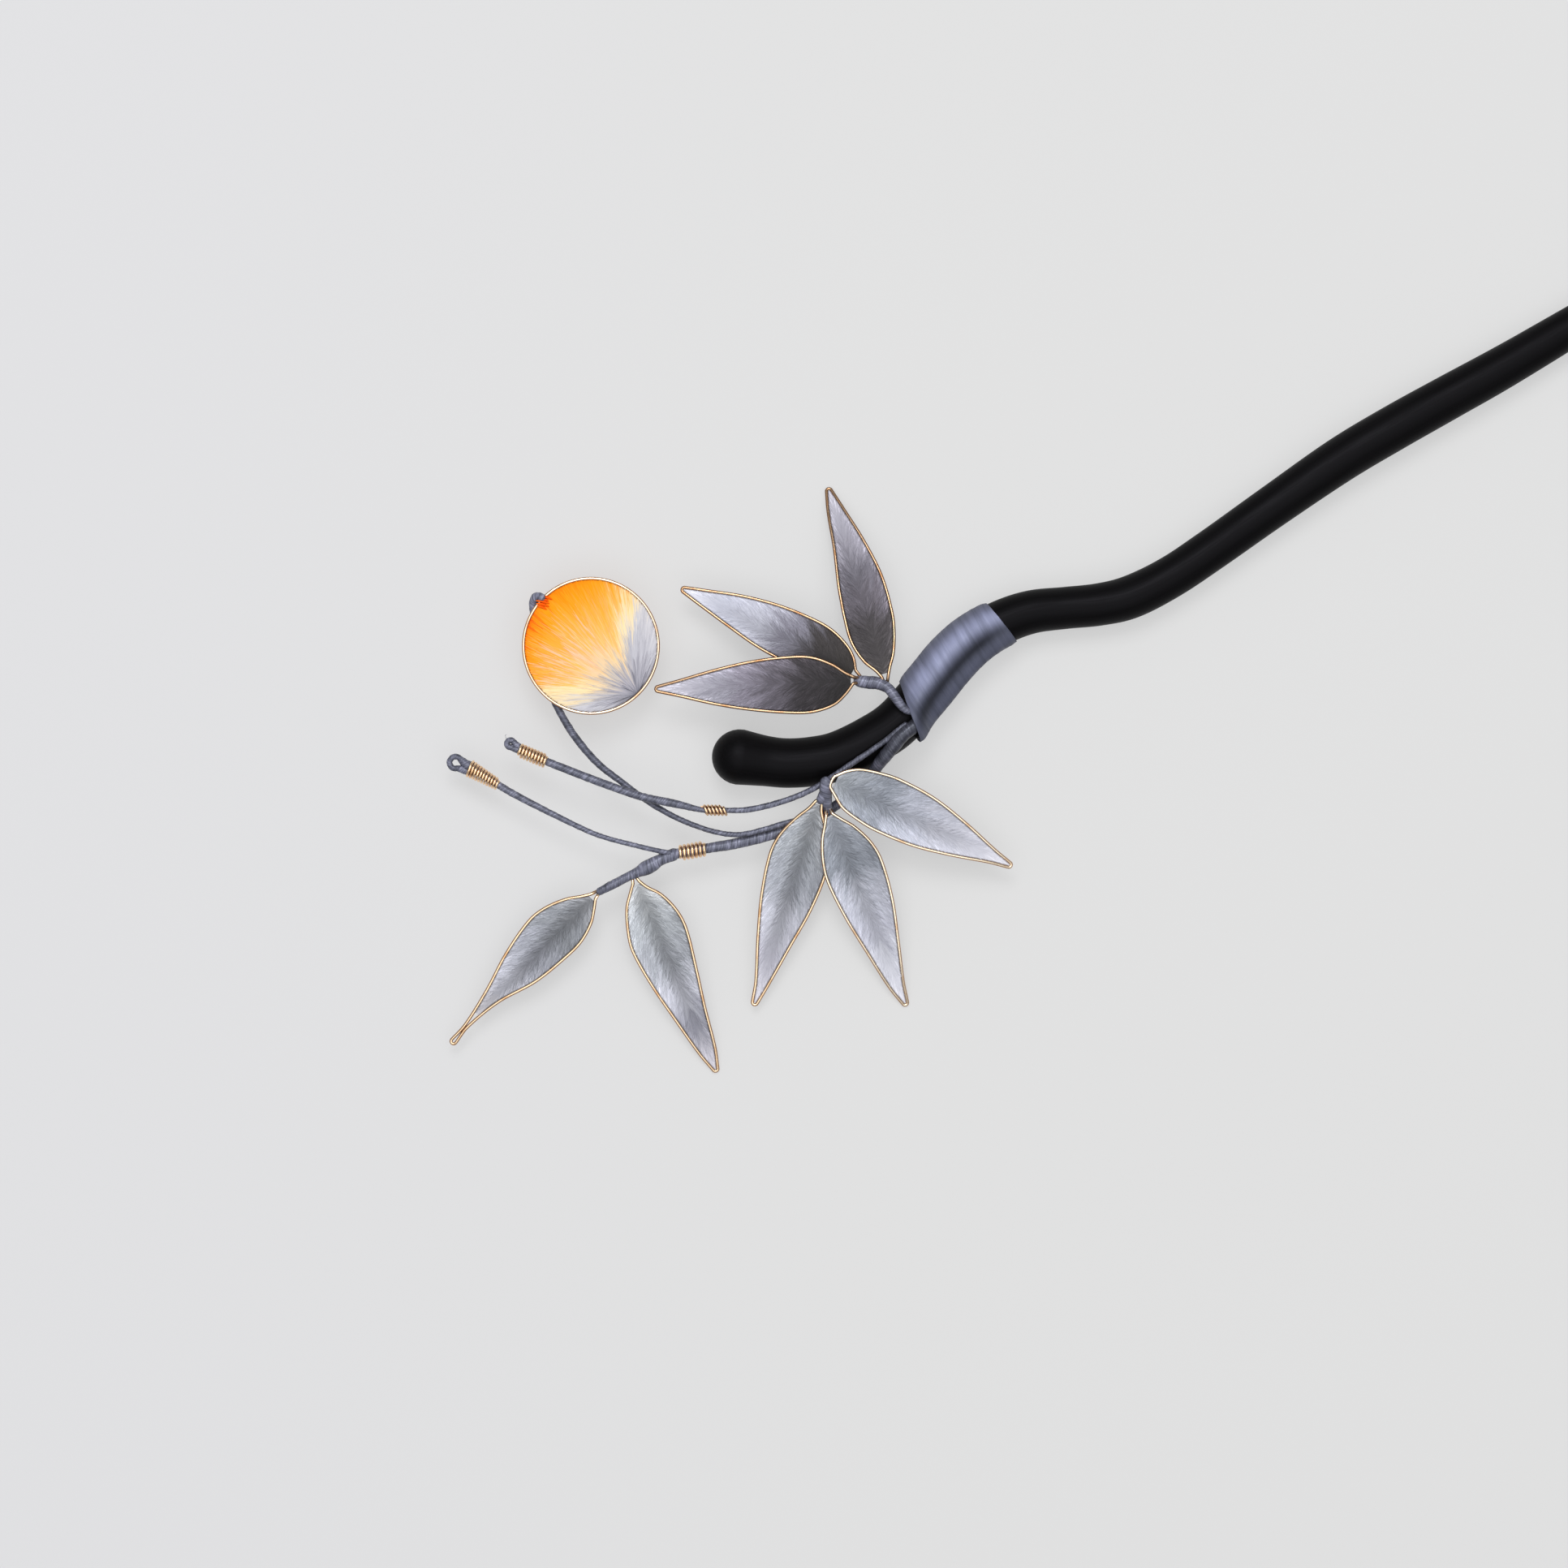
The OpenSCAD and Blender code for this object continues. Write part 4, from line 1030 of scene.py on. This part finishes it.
def leafSheet(name, leaf):
    length, silkTo = leafLength(leaf), leaf.get("silkTo", 1.0)
    shares, paces = np.linspace(0, 1, 101), np.arange(0.1, leafShape["farthest"] + 0.1, 0.1)
    sides = [[standOff(leaf, which, s) for s in shares] for which in ("right", "left")]

    def fibreRoom(s, off, ahead, away, which):  # how far a fibre can go before it meets the wire
        there = s + ahead * paces
        free = np.interp(there, shares, sides[which]) - (off + away * paces) > leafShape["clear"]
        free &= there < silkTo
        return max(0.05, (paces[-1] if free.all() else paces[free.argmin()]) - 0.15)

    rows, columns, foot = leafShape["rows"], leafShape["columns"], leafShape["fibreFoot"]
    points, marks = [], {}
    for face in (1, -1):
        for i in range(rows + 1):
            s = leafShape["silkFrom"] + (silkTo - leafShape["silkFrom"]) * eased(i, rows)
            left, right = [standOff(leaf, which, s) - leafShape["tuck"] for which in ("left", "right")]
            slant = radians(foot + (leafShape["fibreTip"] - foot) * s ** 0.8)
            ahead, away = cos(slant), sin(slant)
            ends = min(1, 5 * eased(i, rows), 5 * (1 - eased(i, rows)))  # the sheet is thin at both ends
            for k in range(columns + 1):
                share = k / columns
                off = left + (-right - left) * share
                thick = leafShape["middle"] - leafShape["edge"]
                thick = leafShape["edge"] + thick * 4 * share * (1 - share) * ends
                dip = leafShape["groove"] * exp(-(off / leafShape["grooveWidth"]) ** 2) * ends
                points.append(leafPoint(leaf, s, off, face * thick / 2 - (dip if face > 0 else 0)))
                side = np.sign(off) if abs(off) > 0.02 else 0
                lie = leafPoint(leaf, s + ahead / length, off + away * side) - leafPoint(leaf, s, off)
                room = fibreRoom(s, abs(off), ahead / length, away, 1 if off > 0 else 0)
                keep(marks, {
                    "lay": (s * length - abs(off) / tan(slant),
                            off + (leafShape["back"] if face < 0 else 0), s),
                    "lie": unit(lie), "room": room * mm,
                    "edge": (left if off > 0 else right) - abs(off) + leafShape["tuck"], "tone": 0.0,
                    "cover": (1.0 if face > 0 else strands["under"]) * (1 - leafShape["thinning"] * s)})
    line = columns + 1
    under, last = (rows + 1) * line, rows * line
    faces = []
    for a in [i * line + k for i in range(rows) for k in range(columns)]:
        faces.append((a, a + 1, a + line + 1, a + line))
        faces.append((under + a, under + a + line, under + a + line + 1, under + a + 1))
    rim = [*range(columns), *range(columns, last + columns, line),
           *range(last + columns, last, -1), *range(last, 0, -line)]
    faces += [(a, under + a, under + b, b) for a, b in zip(rim, rim[1:] + rim[:1])]
    return addMesh(name, points, faces, marks)


for number, (node, leaf) in enumerate(leaves.items()):
    name = pieceName(node)
    wire = wires[leaf.get("finish", "creamWire")]
    finishPiece(leafWire(name + "Wire", leaf), node + "_frame", wire)
    silk = leafSheet(name + "Silk", leaf)
    layStrands(silk, leafMaterial(name + "Silk", leaf["dye"]), 11 + number)
    finishPiece(silk, node + "_silk")
print("leaves made")


# Loose fibres: short hairs of floss at the upper twig's eye, and an orange tuft by the disc's hook

loose = {
    "sides": 6, "bow": 0.12, "points": 8, "hair": 0.07, "strand": 0.42,
    # start and end of each
    "eyeHairs": [((-87.45, 26.3, 7.9), (-87.35, 26.8, 8.0)), ((-87.5, 26.8, 8.0), (-87.1, 26.95, 8.1))],
    "tuft": [((-71.6, 43.0, 9.4), (-70.2, 41.6, 9.0)), ((-71.9, 42.7, 9.3), (-70.3, 41.2, 9.0)),
             ((-72.1, 42.3, 9.2), (-70.6, 40.8, 9.0)), ((-71.3, 43.2, 9.3), (-69.8, 41.9, 9.0)),
             ((-72.2, 42.0, 9.0), (-71.2, 40.6, 8.9)), ((-71.0, 43.1, 9.2), (-69.6, 41.5, 8.9))],
}


def looseLine(start, end, width):
    start, end = np.array(start), np.array(end)
    bow = np.cross(unit(end - start), (0, 0, 1)) * -loose["bow"]
    return [np.append(start + (end - start) * t + bow * sin(pi * t),
                      width * sin(pi * min(0.94, 0.12 + 0.82 * t)))
            for t in np.linspace(0, 1, loose["points"])]


hairs = tubes("eyeHairs", [looseLine(*ends, loose["hair"]) for ends in loose["eyeHairs"]], loose["sides"],
              lambda along, angle, radius: {"wrap": (along, cos(angle), sin(angle))})
finishPiece(hairs, None, stemSilk)
# the tuft takes the disc's dye from near the rim
tuft = tubes("discTuft", [looseLine(*ends, loose["strand"]) for ends in loose["tuft"]], loose["sides"],
             lambda along, angle, radius: {"lay": (16 + 3 * cos(angle), 20 + along, 0),
                                           "edge": 1.0, "tone": 0.0})
finishPiece(tuft, None, discSilk)


# The disc

middle = np.array(disc["middle"])
ringRadius = (disc["width"] - disc["wire"]) / 2
ringLine = [np.append(middle + ringRadius * np.array((cos(a), sin(a), 0)), disc["wire"])
            for a in np.linspace(0, 2 * pi, disc["ringSteps"], endpoint=False)]
ring = tubes("discRing", [ringLine], disc["ringSides"], wireMarks, closed=True)
finishPiece(ring, "disc_ring", wires["ringWire"])


def discSheet():
    rings, sectors = disc["rings"], disc["sectors"]
    radius = ringRadius - disc["tuck"]
    root = np.array(disc["root"])
    main = atan2(middle[1] - root[1], middle[0] - root[0])
    points, marks = [], {}

    def add(r, angle, face):
        outwards = np.array((cos(angle), sin(angle)))
        flat = middle[:2] + r * outwards
        share = r / radius
        thick = disc["thickness"] * (0.45 + 0.55 * sqrt(max(0, 1 - share ** 2)))
        rise = disc["dome"] * (1 - share ** 2)
        points.append((*flat, middle[2] + rise + face * thick / 2))
        ray = flat - root
        way = unit(ray)
        bearing = (atan2(ray[1], ray[0]) - main + pi) % (2 * pi) - pi
        sink = -2 * disc["dome"] * share / radius * np.dot(way, outwards)
        b = np.dot(flat - middle[:2], way)
        room = -b + sqrt(max(0, b * b - r * r + radius ** 2))  # how far the rim is along the fibre
        keep(marks, {
            "lay": (degrees(bearing), np.linalg.norm(ray), 0), "lie": (*way, sink),
            "room": max(0.05, room - 0.2) * mm, "edge": radius - r + disc["tuck"], "tone": 0.0,
            "cover": 1.0 if face > 0 else strands["under"]})

    for face in (1, -1):
        add(0, 0, face)
        for i in range(1, rings + 1):
            for k in range(sectors):
                add(radius * i / rings, 2 * pi * k / sectors, face)
    under = rings * sectors + 1
    faces = []
    for base in (0, under):
        faces += [(base, base + 1 + k, base + 1 + (k + 1) % sectors) for k in range(sectors)]
        for i in range(rings - 1):
            faces += band(base + 1 + i * sectors, base + 1 + (i + 1) * sectors, sectors)
    last = 1 + (rings - 1) * sectors
    faces += band(last, under + last, sectors)
    return addMesh("discSilk", points, faces, marks)


discPiece = discSheet()
layStrands(discPiece, discSilk, 31, length=2.6, width=0.17, thickness=0.016, density=5.0, spread=0.12)
finishPiece(discPiece, "disc_silk")
print("disc made")
